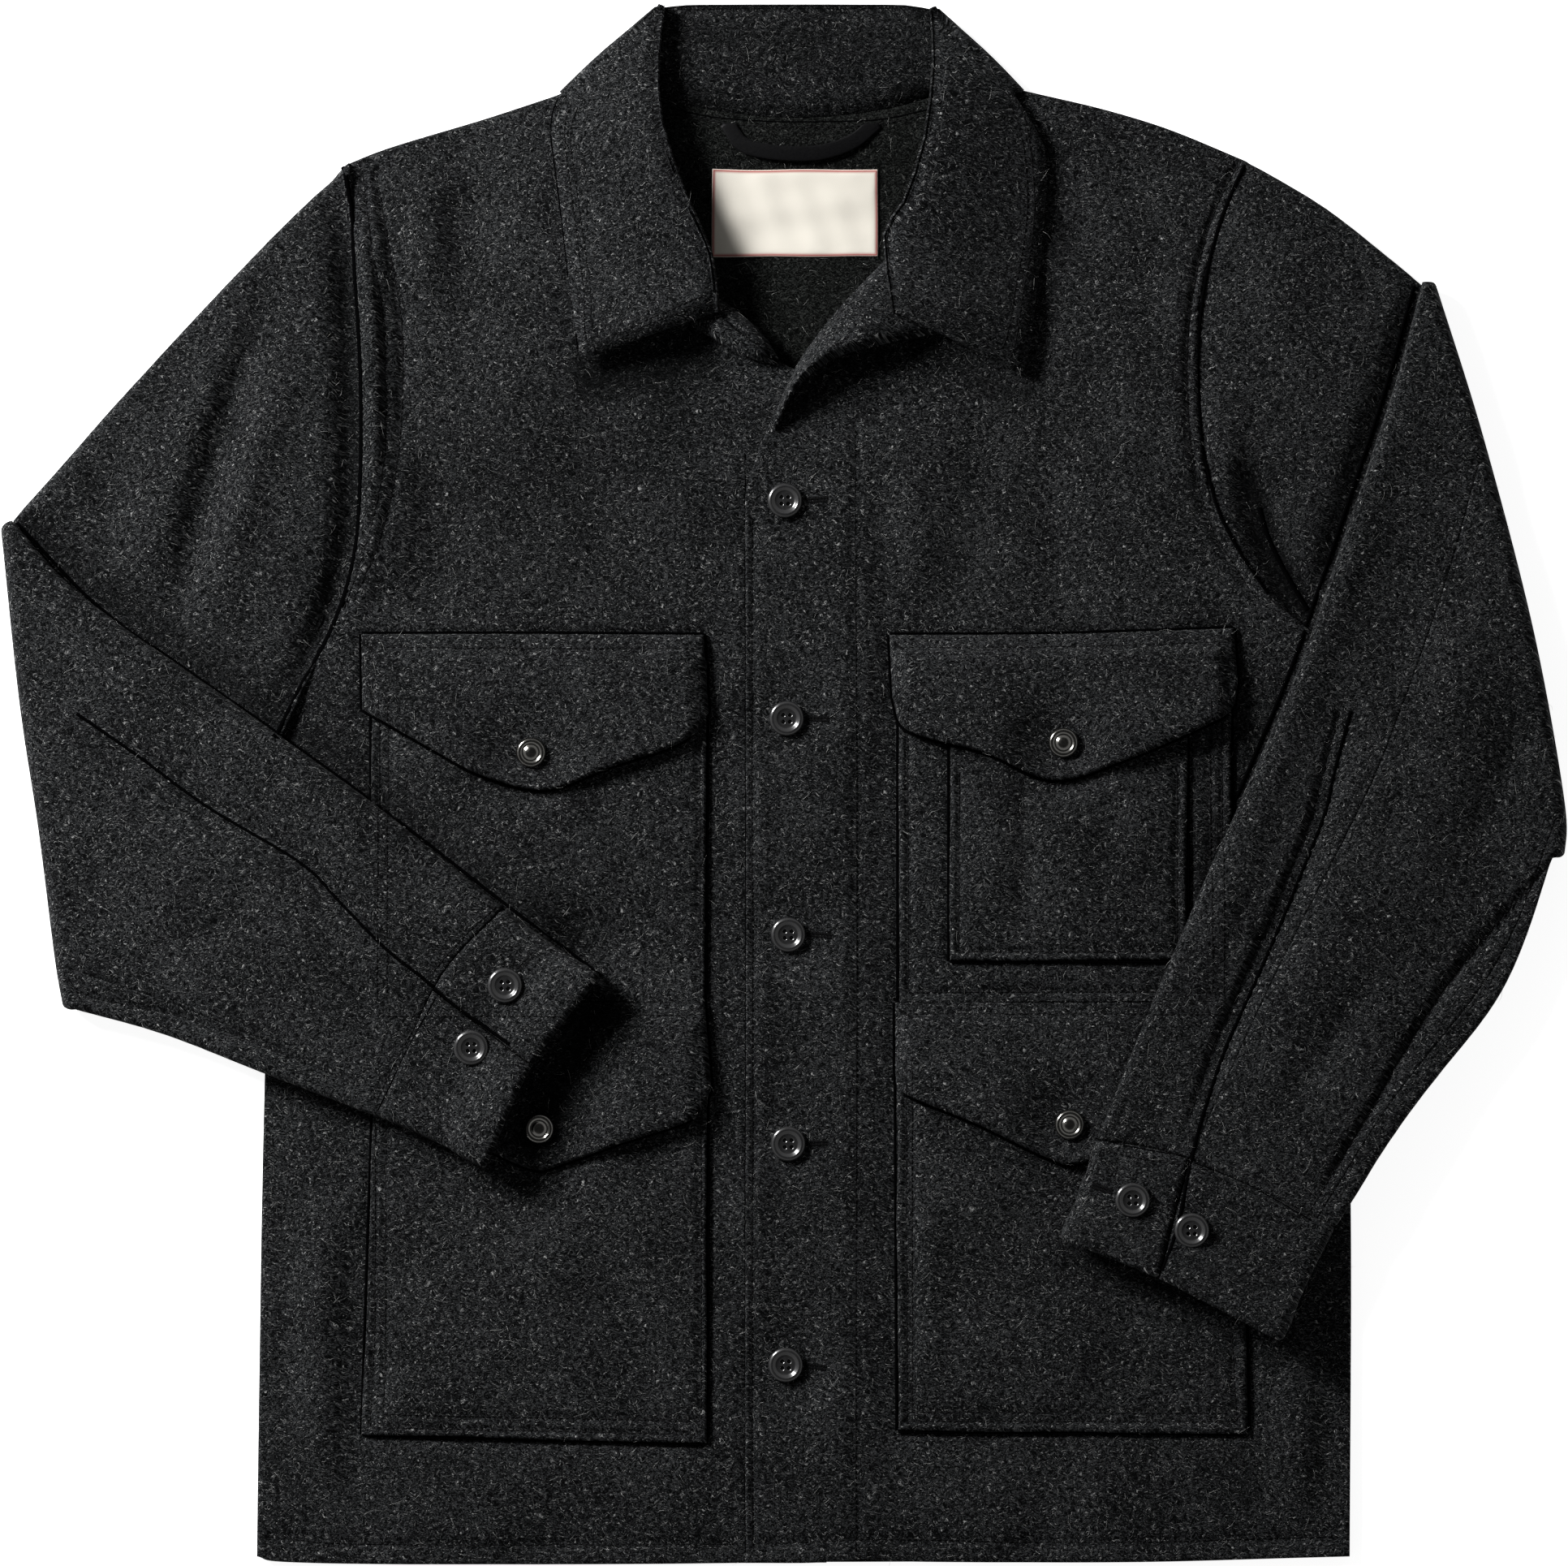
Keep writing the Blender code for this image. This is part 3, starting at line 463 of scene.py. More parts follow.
def woolMaterial(name, ground, fibre, fleck, share):
    # the heather on the cloth's flat cut, mixed toward half the ground colour where shade is painted in the hollows
    c, shader = newMaterial(name)
    at = c.add("UVMap", uv_map="clothFlat").outputs[0]
    wool = c.add("Group", node_tree=heather, in_Vector=at, in_Ground=(*ground, 1), in_Fibre=(*fibre, 1),
                 in_Fleck=(*fleck, 1), in_Fleck_Share=share).outputs
    bump = c.add("Bump", in_Strength=0.55, in_Distance=0.0006, in_Height=wool["Height"])
    # painted shade: the hollow attribute darkens the colour toward half the ground colour
    hollow = c.add("Attribute", attribute_name="hollow").outputs["Fac"]
    colour = c.mix(hollow, wool["Color"], (*(value * 0.5 for value in ground), 1))
    c.feed(shader, in_Base_Color=colour, in_Normal=bump.outputs[0], in_Roughness=0.95,
           in_Specular_IOR_Level=0.03, in_Sheen_Weight=0.008, in_Sheen_Roughness=0.5)


def plainMaterial(name, colour, roughness, grain, scale, metallic=0.0, coat=0.0, gleam=0.5):
    # one colour with fine noise in its colour, roughness and bump
    c, shader = newMaterial(name)
    noise = c.noise(c.add("TexCoord").outputs["Object"], scale, 3.0, 0.6, "3D")
    darker, lighter = ((*(min(1, value * share) for value in colour), 1) for share in (1 - grain, 1 + grain))
    c.feed(shader, in_Base_Color=c.mix(noise, darker, lighter), in_Metallic=metallic, in_Coat_Weight=coat,
           in_Roughness=c.range(noise, 0.3, 0.7, roughness * 0.85, roughness * 1.15), in_Coat_Roughness=0.08,
           in_Normal=c.add("Bump", in_Strength=0.25, in_Distance=0.0001, in_Height=noise).outputs[0],
           in_Specular_IOR_Level=gleam)


labelLook = {"ground": (0.82, 0.78, 0.70), "shade": (0.62, 0.58, 0.50), "line": (0.34, 0.02, 0.02),
             "pitch": (0.0007, 0.0005)}


def labelMaterial(name):
    # plain weave from two crossed waves, with a thin woven line round the edge, on the label's own flat cut
    c, shader = newMaterial(name)
    parts = c.add("SeparateXYZ", in_Vector=c.add("UVMap", uv_map="clothFlat").outputs[0])
    warp, weft = (c.math("SINE", c.math("MULTIPLY", parts.outputs[k], 2 * math.pi / pitch))
                  for k, pitch in enumerate(labelLook["pitch"]))
    weave = c.math("MULTIPLY", c.math("ADD", c.math("MULTIPLY", warp, weft), 1.0), 0.5)
    ground, shade, line = ((*labelLook[key], 1) for key in ("ground", "shade", "line"))
    woven = c.mix(weave, shade, ground)
    colour = c.mix(c.add("Attribute", attribute_name="woven").outputs["Fac"], woven, line)
    bump = c.add("Bump", in_Strength=0.4, in_Distance=0.0002, in_Height=weave)
    c.feed(shader, in_Base_Color=colour, in_Normal=bump.outputs[0], in_Roughness=0.75)


heather = makeHeather()
woolMaterial("wool", (0.0012, 0.0013, 0.0014), (0.0335, 0.035, 0.0365), (0.27, 0.27, 0.265), 1.0)
# the inside face of the back's wool: darker than the outside, partly painted shade for the inside of the neck
woolMaterial("woolInnerShaded", (0.0010, 0.0011, 0.0010), (0.017, 0.0185, 0.0175), (0.08, 0.08, 0.075), 0.7)
plainMaterial("buttonGloss", (0.013, 0.013, 0.0135), 0.30, 0.2, 400.0, coat=1.0)
plainMaterial("snapCap", (0.24, 0.235, 0.22), 0.2, 0.35, 700.0, metallic=1.0)
plainMaterial("satinTape", (0.0016, 0.0016, 0.0019), 0.5, 0.4, 1500.0, gleam=0.12)
plainMaterial("thread", (0.0030, 0.0030, 0.0033), 0.7, 0.4, 2500.0, gleam=0.1)
# near-black matte for the painted shadow lines along edges, seams and folds
plainMaterial("foldShade", (0.0010, 0.0010, 0.0011), 0.95, 0.6, 1200.0, gleam=0.0)
plainMaterial("hair", (0.30, 0.30, 0.29), 0.7, 0.5, 300.0)
labelMaterial("labelWeave")
print("stage: finishes made")


# The body: a flat back and two fronts lofted over it. Outlines are in millimetres. Creases are soft troughs (minus)
# and ridges (plus): half width and height in millimetres, then x, y of the path in the picture.

body = {"step": 2.4, "backStep": 4.5, "rollStep": 1.6, "shoulderTop": 372.0, "shoulderSlope": 0.3,
    "shoulderFrom": 70.0, "shoulderRun": 90.0, "hemLine": -403.0, "hemRun": 60.0, "cuffReach": 60.0, "cuffHold": 16.0,
    "cuffRun": 40.0, "neckCalm": 0.8, "deepest": 0.8, "rollShown": 0.62, "rollGap": 0.2, "underShare": 0.35,
    "loft": 3.0, "loftCentre": 10.0, "loftHalfWidth": 295.0, "atShoulder": 0.15, "atHem": 0.35, "neckLift": 4.2,
    "neckHalfWidth": 112.0, "neckEdge": 344.0, "neckRun": 70.0, "stepStart": 30.0, "stepRun": 30.0,
    "sideLeft": [(-273, -400.5), (-271.5, -290), (-269, -157), (-263.5, -20), (-261, 25)],
    "armholeLeft": [(-261, 25), (-249, 52), (-232.5, 84), (-222.6, 117), (-219.7, 160), (-219.7, 211), (-221.8, 263),
        (-227, 320)],
    "sideRight": [(293, -400.5), (293.6, -225), (290, -60), (283, 70)],
    "armholeRight": [(283, 70), (270.5, 80.5), (250, 98), (236, 117), (224.5, 139), (217.5, 165), (214, 214),
        (218, 262), (239, 322)],
    "hemUnder": [(-273, -400.5), (-254, -403.5), (-150, -404.5), (22, -403.5)],
    "hemOver": [(-20, -403.5), (15, -403.3), (40, -401.3), (70, -403), (180, -403.3), (293, -400.5)],
    "hemBack": [(-272.5, -400), (-254, -402.5), (-150, -403.5), (180, -402.5), (292.5, -400)],
    "neckFrontLeft": [(-37, 237), (-58, 262), (-76, 290), (-84, 325), (-80, 359)],
    "neckFrontRight": [(50, 268), (66, 276), (86, 295), (96, 325), (92, 359)],
    "neckBack": [(-80, 359), (-57, 353.5), (-28, 348), (6, 345.5), (40, 348), (69, 353.5), (92, 359)],
    "shoulderLeft": [(-227, 320), (-204, 329), (-154, 344), (-121, 354.5), (-108, 358.5), (-80, 359)],
    "shoulderRight": [(92, 359), (119, 358.5), (131, 356.5), (166, 348.5), (199, 338.5), (239, 322)],
    "edgeUnder": [(22, -403.5), (22, 196)], "cornerUnder": [(22, 196), (12, 210), (-1, 217), (-37, 237)],
    "edgeOver": [(-20, -403.5), (-20, -100), (-20, 150)],
    "lapelFold": [(-20, 150), (-13, 172), (-2, 198), (9, 220), (24, 239), (50, 268)],
    "rollOver": {"fold": [(-7, 184), (-1, 199), (9, 219), (24, 240), (46, 264), (64, 282)],
        "edge": [(-4.5, 182), (2, 196), (11, 208), (27, 219), (45, 224.5), (64, 229), (80, 232)]},
    "rollUnder": {"fold": [(-3, 219.5), (-10, 231), (-22, 242), (-33, 250), (-46, 258)],
        "edge": [(-2.5, 216), (-12, 217.5), (-24, 222), (-36, 229), (-50, 238)]},
    "rollArch": 3.4, "rollLift": 10.5, "rollSink": 8.0, "puff": 2.4, "creaseScale": 1.5,
    "cuffEnds": [[(-92, -98), (-128, -146), (-151, -200)], [(140, -238), (191, -258), (257, -290)]],
    "creases": [(7, 3.4, 430, 150, 436, 200, 448, 262, 455, 338, 460, 463, 461, 589, 450, 686, 425, 766, 385, 841),
        (8, -1.0, 478, 200, 492, 330, 500, 430, 500, 560), (11, 2.2, 518, 200, 530, 280, 528, 370),
        (14, -1.7, 560, 210, 582, 330, 574, 450), (13, 2.2, 482, 540, 482, 640, 468, 740),
        (14, -1.8, 520, 540, 540, 640, 530, 770), (22, 1.4, 600, 250, 640, 400, 690, 560),
        (12, 1.6, 760, 470, 830, 560, 860, 700), (14, -1.3, 700, 500, 740, 620, 730, 760),
        (8, -2.2, 1290, 250, 1350, 320, 1420, 345, 1470, 350), (14, 1.9, 1350, 390, 1400, 470, 1390, 600),
        (12, -1.3, 1300, 520, 1290, 640, 1320, 760), (10, 1.3, 1440, 230, 1448, 380, 1452, 520, 1470, 640),
        (12, 1.8, 1075, 500, 1120, 600, 1140, 740), (16, -1.6, 1180, 480, 1210, 600, 1200, 740),
        (6, 1.2, 938, 640, 936, 900, 938, 1200, 935, 1500, 937, 1800), (8, -0.7, 1085, 560, 1088, 800, 1082, 1100),
        (8, -0.8, 895, 700, 890, 1000, 896, 1300, 892, 1700), (12, 2.0, 400, 1450, 392, 1660, 404, 1900),
        (8, -1.6, 430, 1480, 436, 1660, 430, 1880), (8, -1.4, 350, 1420, 358, 1600, 350, 1850),
        (12, 2.0, 1590, 1560, 1604, 1740, 1585, 1900), (8, -1.3, 1630, 1600, 1640, 1760, 1632, 1880),
        (14, 1.5, 560, 1790, 600, 1860, 610, 1925), (12, -1.2, 700, 1800, 690, 1860, 720, 1925),
        (9, -0.7, 1090, 1150, 1086, 1400, 1092, 1700, 1094, 1880), (8, 1.9, 1143, 1440, 1148, 1560, 1140, 1720),
        (14, 1.5, 1300, 1560, 1330, 1640, 1310, 1740), (14, 1.4, 1250, 1790, 1230, 1850, 1260, 1920),
        (14, 1.7, 560, 1010, 640, 1100, 700, 1180), (10, -1.5, 700, 960, 770, 1040, 820, 1180),
        (16, 1.6, 540, 1480, 640, 1560, 740, 1700), (11, -1.5, 700, 1480, 760, 1560, 800, 1700)]}

frontRows = [(1053, 520, 1054, 800, 1055, 1200, 1054, 1600, 1054, 1912),
    (926, 640, 926, 900, 927, 1300, 926, 1700, 927, 1905), (330, 1893, 420, 1901, 640, 1903, 905, 1902),
    (930, 1901, 1100, 1896, 1350, 1900, 1650, 1893),
    (463, 212, 478, 300, 491, 370, 496, 432, 491, 557, 470, 660, 436, 740),
    (447, 215, 458, 307, 470, 380, 475, 470, 473, 570, 455, 660, 424, 750),
    (1524, 205, 1503, 245, 1485, 294, 1472, 346, 1464, 402, 1462, 456, 1465, 532, 1474, 588, 1491, 646, 1519, 695,
        1548, 738)]

# plans of the pockets and flaps, which press into the cloth they are sewn on
pockets = {"chest_right": [(-213, -113.2), (-41, -113.2), (-40, 63), (-213, 63)],
    "chest_left": [(59.5, -113.2), (231, -113.2), (231, 64), (59.5, 64)],
    "lower_right": [(-218, -336.5), (-40, -341), (-40, -130), (-211, -130)],
    "lower_left": [(59, -334.5), (240, -336), (236, -130), (58, -130)],
    "small": [(85.7, -91.5), (208, -91.5), (208, 40), (85.7, 40)]}
flaps = {
    "chest_right": {"top": [(-218.5, 77), (-130, 77), (-41.5, 76.5)],
        "lower": [(-218, 38), (-201, 28.5), (-179, 16), (-155, 3.5), (-123, -3.5), (-89, 8.5), (-53, 21), (-39, 36)]},
    "chest_left": {"top": [(54.5, 76.5), (144, 77), (232.5, 80)],
        "lower": [(56, 44), (64, 27), (104, 15.5), (139, 1.5), (176, 12), (216, 29), (231, 38), (234.5, 52)]},
    "lower_right": {"top": [(-216, -113.4), (-130, -113.4), (-41, -113.4)],
        "lower": [(-216, -152), (-199, -165), (-160, -186), (-130, -199.5), (-114, -196.5), (-85, -186), (-47, -173),
            (-37.5, -158)]},
    "lower_left": {"top": [(57.5, -113.4), (144, -113.4), (237, -113.4)],
        "lower": [(57.5, -150), (62, -160), (100, -176), (136, -193.5), (152, -196.5), (190, -184), (226, -168),
            (239, -150)]}}
fastened = {"radius": 8.0, "front": [(0.4, 146), (1.3, 33.4), (2.1, -78.3), (2.1, -186.3), (0.8, -300.5)],
    "snaps": {"chest_right": (-130.6, 15.8), "chest_left": (144, 20.8), "lower_right": (-126.4, -178.3),
        "lower_left": (147.4, -176.2)}}
heldPlaces = np.array(fastened["front"] + list(fastened["snaps"].values()))


def pressed(names, flapNames=()):
    # the outlines of pockets and flaps as rows for groove
    outlines = [resample(np.array([*pockets[name], pockets[name][0]], float), shares(161)) for name in names]
    for top, lower in ((flaps[name]["top"], flaps[name]["lower"]) for name in flapNames):
        outlines.append(np.vstack([bend(top), bend(lower)[::-1], top[:1]]))
    return outlines


def neckLift(plan):
    # 1 - smooth(distance outside the neck's middle / run), times the lift
    across = np.maximum(0, np.abs(plan[..., 0] - cut["neckCentre"]) - body["neckHalfWidth"])
    down = np.maximum(0, body["neckEdge"] - plan[..., 1])
    return body["neckLift"] * (1 - smooth(np.hypot(across, down) / body["neckRun"]))


def loft(plan):
    # loft * (1 - (x / half width)^4) * rise from the shoulder * rise from the hem
    x, y = plan[..., 0], plan[..., 1]
    sideways = 1 - ((x - body["loftCentre"]) / body["loftHalfWidth"]) ** 4
    beyond = np.abs(x - cut["neckCentre"]) - body["shoulderFrom"]
    shoulderLine = body["shoulderTop"] - body["shoulderSlope"] * beyond
    shoulder = body["atShoulder"] + (1 - body["atShoulder"]) * smooth((shoulderLine - y) / body["shoulderRun"])
    hem = body["atHem"] + (1 - body["atHem"]) * smooth((y - body["hemLine"]) / body["hemRun"])
    return body["loft"] * sideways * shoulder * hem


def heldDown(plan, reach=28.0):
    # 0 at every button and snap, 1 away from them
    gaps = np.linalg.norm(plan[..., None, :2] - heldPlaces, axis=-1).min(axis=-1)
    return smooth((gaps - fastened["radius"]) / reach)


def freeOfCuffs(plan):
    # 0 beside the ends of the cuffs, which weigh on the front, 1 away from them
    ends = np.vstack([along(end, 30) for end in body["cuffEnds"]])
    return smooth((nearestOn(plan, ends, body["cuffReach"])[0] - body["cuffHold"]) / body["cuffRun"])


def drape(plan):
    # creases and slow ripples of the fronts, never deeper than the loft, level where a fastening holds them
    slow = ripple(plan, cut["seed"], (60, 170), 0.6) + ripple(plan, cut["seed"] + 1, (22, 46), 0.12)
    atNeck, rise = neckLift(plan) / body["neckLift"], loft(plan)
    puff = body["puff"] * (1 - atNeck) * np.clip(rise / body["loft"], 0, 1) * freeOfCuffs(plan)
    creases = relief(plan, body["creases"]) * body["creaseScale"] * (1 - body["neckCalm"] * atNeck)
    return np.maximum(puff + creases + slow, -body["deepest"] * np.maximum(rise, 0)) * heldDown(plan)


def frontLow(plan, over):
    # neck lift + one layer + loft, and one layer more where the over front climbs the under front
    climb = 1 - smooth((plan[..., 0] - body["stepStart"]) / body["stepRun"]) if over else 0
    return neckLift(plan) + stack + loft(plan) + stack * climb


def frontTop(plan):
    # top of whichever front shows
    low = np.where(plan[..., 0] > cut["overEdge"], frontLow(plan, True), frontLow(plan, False))
    return low + cut["cloth"] + drape(plan)


def makeFront(name, over, *edges):
    # a front, pressed in along its own sewing and under the pockets and flaps sewn on it
    plan = panel(*(edge(*(body[key] for key in keys)) for keys in edges), body["step"])
    sewnOn = pressed(("chest_right", "lower_right", "chest_left", "lower_left"), flaps)
    extra = groove(plan, frontRows) + groove(plan, sewnOn, 1.5, 2.4) + ripple(plan, 8 if over else 7, (7, 15), 0.07)
    return laid(name, plan, frontLow(plan, over) + drape(plan), cut["cloth"], "wool", extra)


def makeBack():
    # the flat back panel: one layer on the table, lifted at the neck, with a slow ripple, in the wool darkened as
    # painted shade
    b = body
    plan = panel(edge(b["hemBack"]), edge(b["shoulderLeft"], b["neckBack"], b["shoulderRight"]),
                 edge(b["sideLeft"], b["armholeLeft"]), edge(b["sideRight"], b["armholeRight"]), b["backStep"])
    return laid("clothBack", plan, neckLift(plan), cut["cloth"], "woolInnerShaded", ripple(plan, 5, (30, 90), 0.15))


def makeNeckRoll(name, key):
    # a corner of a front rolled outward: arched from its fold to its edge, its far end sunk out of sight
    over = key == "rollOver"
    plan = between(*(bend(body[key][side]) for side in ("fold", "edge")), body["rollStep"])
    across, on = np.meshgrid(shares(len(plan)), shares(plan.shape[1]), indexing="ij")
    arch = body["rollArch"] * np.sqrt(np.sin(math.pi * across)) * smooth(on / 0.25)
    hidden = body["rollSink"] * smooth((on - body["rollShown"]) / (1 - body["rollShown"]))
    free = body["rollLift"] * (1.0 if over else body["underShare"]) * smooth(1.3 * across) * smooth(on / 0.3)
    low = frontLow(plan, over) + drape(plan) + cut["cloth"] + body["rollGap"] + free - hidden
    return laid(name, plan, low, cut["cloth"], "wool", arch)


bodyPieces = [
    makeBack(),
    makeFront("clothFrontRight", False, ("hemUnder",), ("shoulderLeft",), ("sideLeft", "armholeLeft"),
              ("edgeUnder", "cornerUnder", "neckFrontLeft")),
    makeFront("clothFrontLeft", True, ("hemOver",), ("shoulderRight",), ("edgeOver", "lapelFold", "neckFrontRight"),
              ("sideRight", "armholeRight")),
    makeNeckRoll("clothNeckRollLeft", "rollOver"), makeNeckRoll("clothNeckRollRight", "rollUnder")]
for piece, node in zip(bodyPieces, ("back", "front_right", "front_left", "neck_roll_left", "neck_roll_right")):
    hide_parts(node)
print("stage: body made")


# Pockets, and flaps of double cloth over them

pocketFill = {"step": 2.2, "height": 1.8, "smallHeight": 0.9,
    "creases": {
        "small": [(5, -1.6, 1256, 930, 1262, 1040, 1256, 1170), (9, 1.0, 1215, 930, 1222, 1060, 1215, 1160),
            (12, 1.2, 1330, 950, 1322, 1080, 1330, 1170), (9, 1.5, 1400, 970, 1392, 1100)]}}
pocketRows = {"chest_right": [(468, 860, 467, 1230), (479, 860, 479, 1230), (862, 860, 863, 1225)],
    "chest_left": [("straight", 1118, 870, 1119, 1222, 1300, 1221, 1504, 1221), (1505, 860, 1505, 1221),
        (1490, 860, 1491, 1218)],
    "lower_right": [("straight", 463, 1385, 462, 1640, 456, 1757, 865, 1766),
        ("straight", 476, 1385, 475, 1700, 472, 1741, 864, 1749, 864, 1340)],
    "lower_left": [("straight", 1116, 1300, 1117, 1749, 1523, 1750, 1517, 1640),
        ("straight", 1123, 1300, 1124, 1738, 1512, 1740)],
    "small": [("straight", 1181, 950, 1181, 1172, 1449, 1172, 1449, 950)]}
flapRows = {"chest_right": [(452, 797, 660, 799, 864, 799), (460, 788, 460, 872)],
    "chest_left": [(1104, 798, 1310, 797, 1512, 791)], "lower_right": [(470, 1250, 860, 1250)],
    "lower_left": [(1109, 1248, 1300, 1248, 1520, 1248)]}
flapForm = {"riseRun": 12.0, "sideRun": 9.0, "lift": 2.9, "belly": 1.2, "radius": 3.2, "step": 2.0,
            "atSide": 0.12, "liftAtSide": 0.2, "liftAtCuff": 0.15, "liftHeld": 0.5, "heldReach": 34.0}


def pocketPuff(name, plan):
    # sin of the share across times sin of the share upward, flattened: the pocket stands off the front a little
    corners = np.array(pockets[name], float)
    low, high = corners.min(axis=0), corners.max(axis=0)
    u, v = (np.clip((plan[..., k] - low[k]) / (high[k] - low[k]), 0, 1) for k in (0, 1))
    rise = np.minimum(1, 1.6 * np.sin(math.pi * u)) * np.minimum(1, 1.6 * np.sin(math.pi * v))
    size = pocketFill["smallHeight" if name == "small" else "height"]
    return size * rise * heldDown(plan) * freeOfCuffs(plan)


def pocketLow(name, plan):
    # on the front, or on the left chest pocket for the small one
    under = stack + pocketPuff("chest_left", plan) if name == "small" else 0
    return frontTop(plan) + cut["gap"] + under


def makePocket(name):
    # a patch pocket with a slow wave to its edges: puff, grooves along its sewing, creases and ripples
    plan = rectangle(pockets[name], pocketFill["step"])
    plan = plan + 0.7 * ripple(plan, 40 + len(name), (50, 120), 0.5)[..., None]
    extra = pocketPuff(name, plan) + groove(plan, pocketRows[name]) + ripple(plan, 9, (7, 15), 0.07)
    extra += relief(plan, pocketFill["creases"].get(name, [])) + ripple(plan, 45, (24, 60), 0.3) * heldDown(plan)
    if name == "chest_left":
        extra += groove(plan, pressed(("small",)), 1.3, 2.2)
    sides = "new" if name.startswith("chest") else "nsew"
    return laid("clothPocket_" + name, plan, pocketLow(name, plan), cut["cloth"], "wool", extra, roundSides=sides)


def flapLow(name, plan):
    # on the front at the top edge, then up one or two layers on the pocket, less toward its sides
    left, right = flaps[name]["top"][0], flaps[name]["top"][-1]
    rise = smooth((left[1] - plan[..., 1]) / flapForm["riseRun"])
    puff, layers = pocketPuff(name, plan), 1
    if name == "chest_left":
        puff, layers = puff + pocketPuff("small", plan), 2
    inside = smooth((np.minimum(plan[..., 0] - left[0], right[0] - plan[..., 0]) - 1.0) / flapForm["sideRun"])
    share = flapForm["atSide"] + (1 - flapForm["atSide"]) * inside
    return frontTop(plan) + cut["gap"] + rise * (layers * stack + puff) * share


def makeFlap(name):
    # a flap lifts toward its free edge, less at its sides, its fastening and the cuffs
    f, plan = flapForm, between(bend(flaps[name]["lower"]), bend(flaps[name]["top"]), flapForm["step"])
    down = np.linspace(1, 0, len(plan))[:, None]
    inward = np.minimum(shares(plan.shape[1]), shares(plan.shape[1])[::-1])
    lift = f["lift"] * smooth((down - 0.35) / 0.65)
    for least, free in ((f["liftHeld"], heldDown(plan, f["heldReach"])), (f["liftAtCuff"], freeOfCuffs(plan)),
                        (f["liftAtSide"], smooth(inward / 0.12))):
        lift = lift * (least + (1 - least) * free)
    extra = (f["belly"] * np.sin(math.pi * down) * heldDown(plan) + groove(plan, flapRows[name], 1.4)
             + ripple(plan, 12, (8, 18), 0.08))
    sides = "sew" if name.startswith("lower") else "nsew"
    return laid("clothFlap_" + name, plan, flapLow(name, plan) + lift, cut["doubleCloth"], "wool", extra,
                roundSides=sides, radius=f["radius"])


pocketPieces = [makePocket(name) for name in pockets]
flapPieces = [makeFlap(name) for name in flaps]
for kind, names, pieces in (("pocket_", pockets, pocketPieces), ("flap_", flaps, flapPieces)):
    for name, piece in zip(names, pieces):
        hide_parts(kind + name)
print("stage: pockets and flaps made")


# Sleeves: flat tubes folded over at the elbow, each a top sleeve, an under sleeve and a cuff

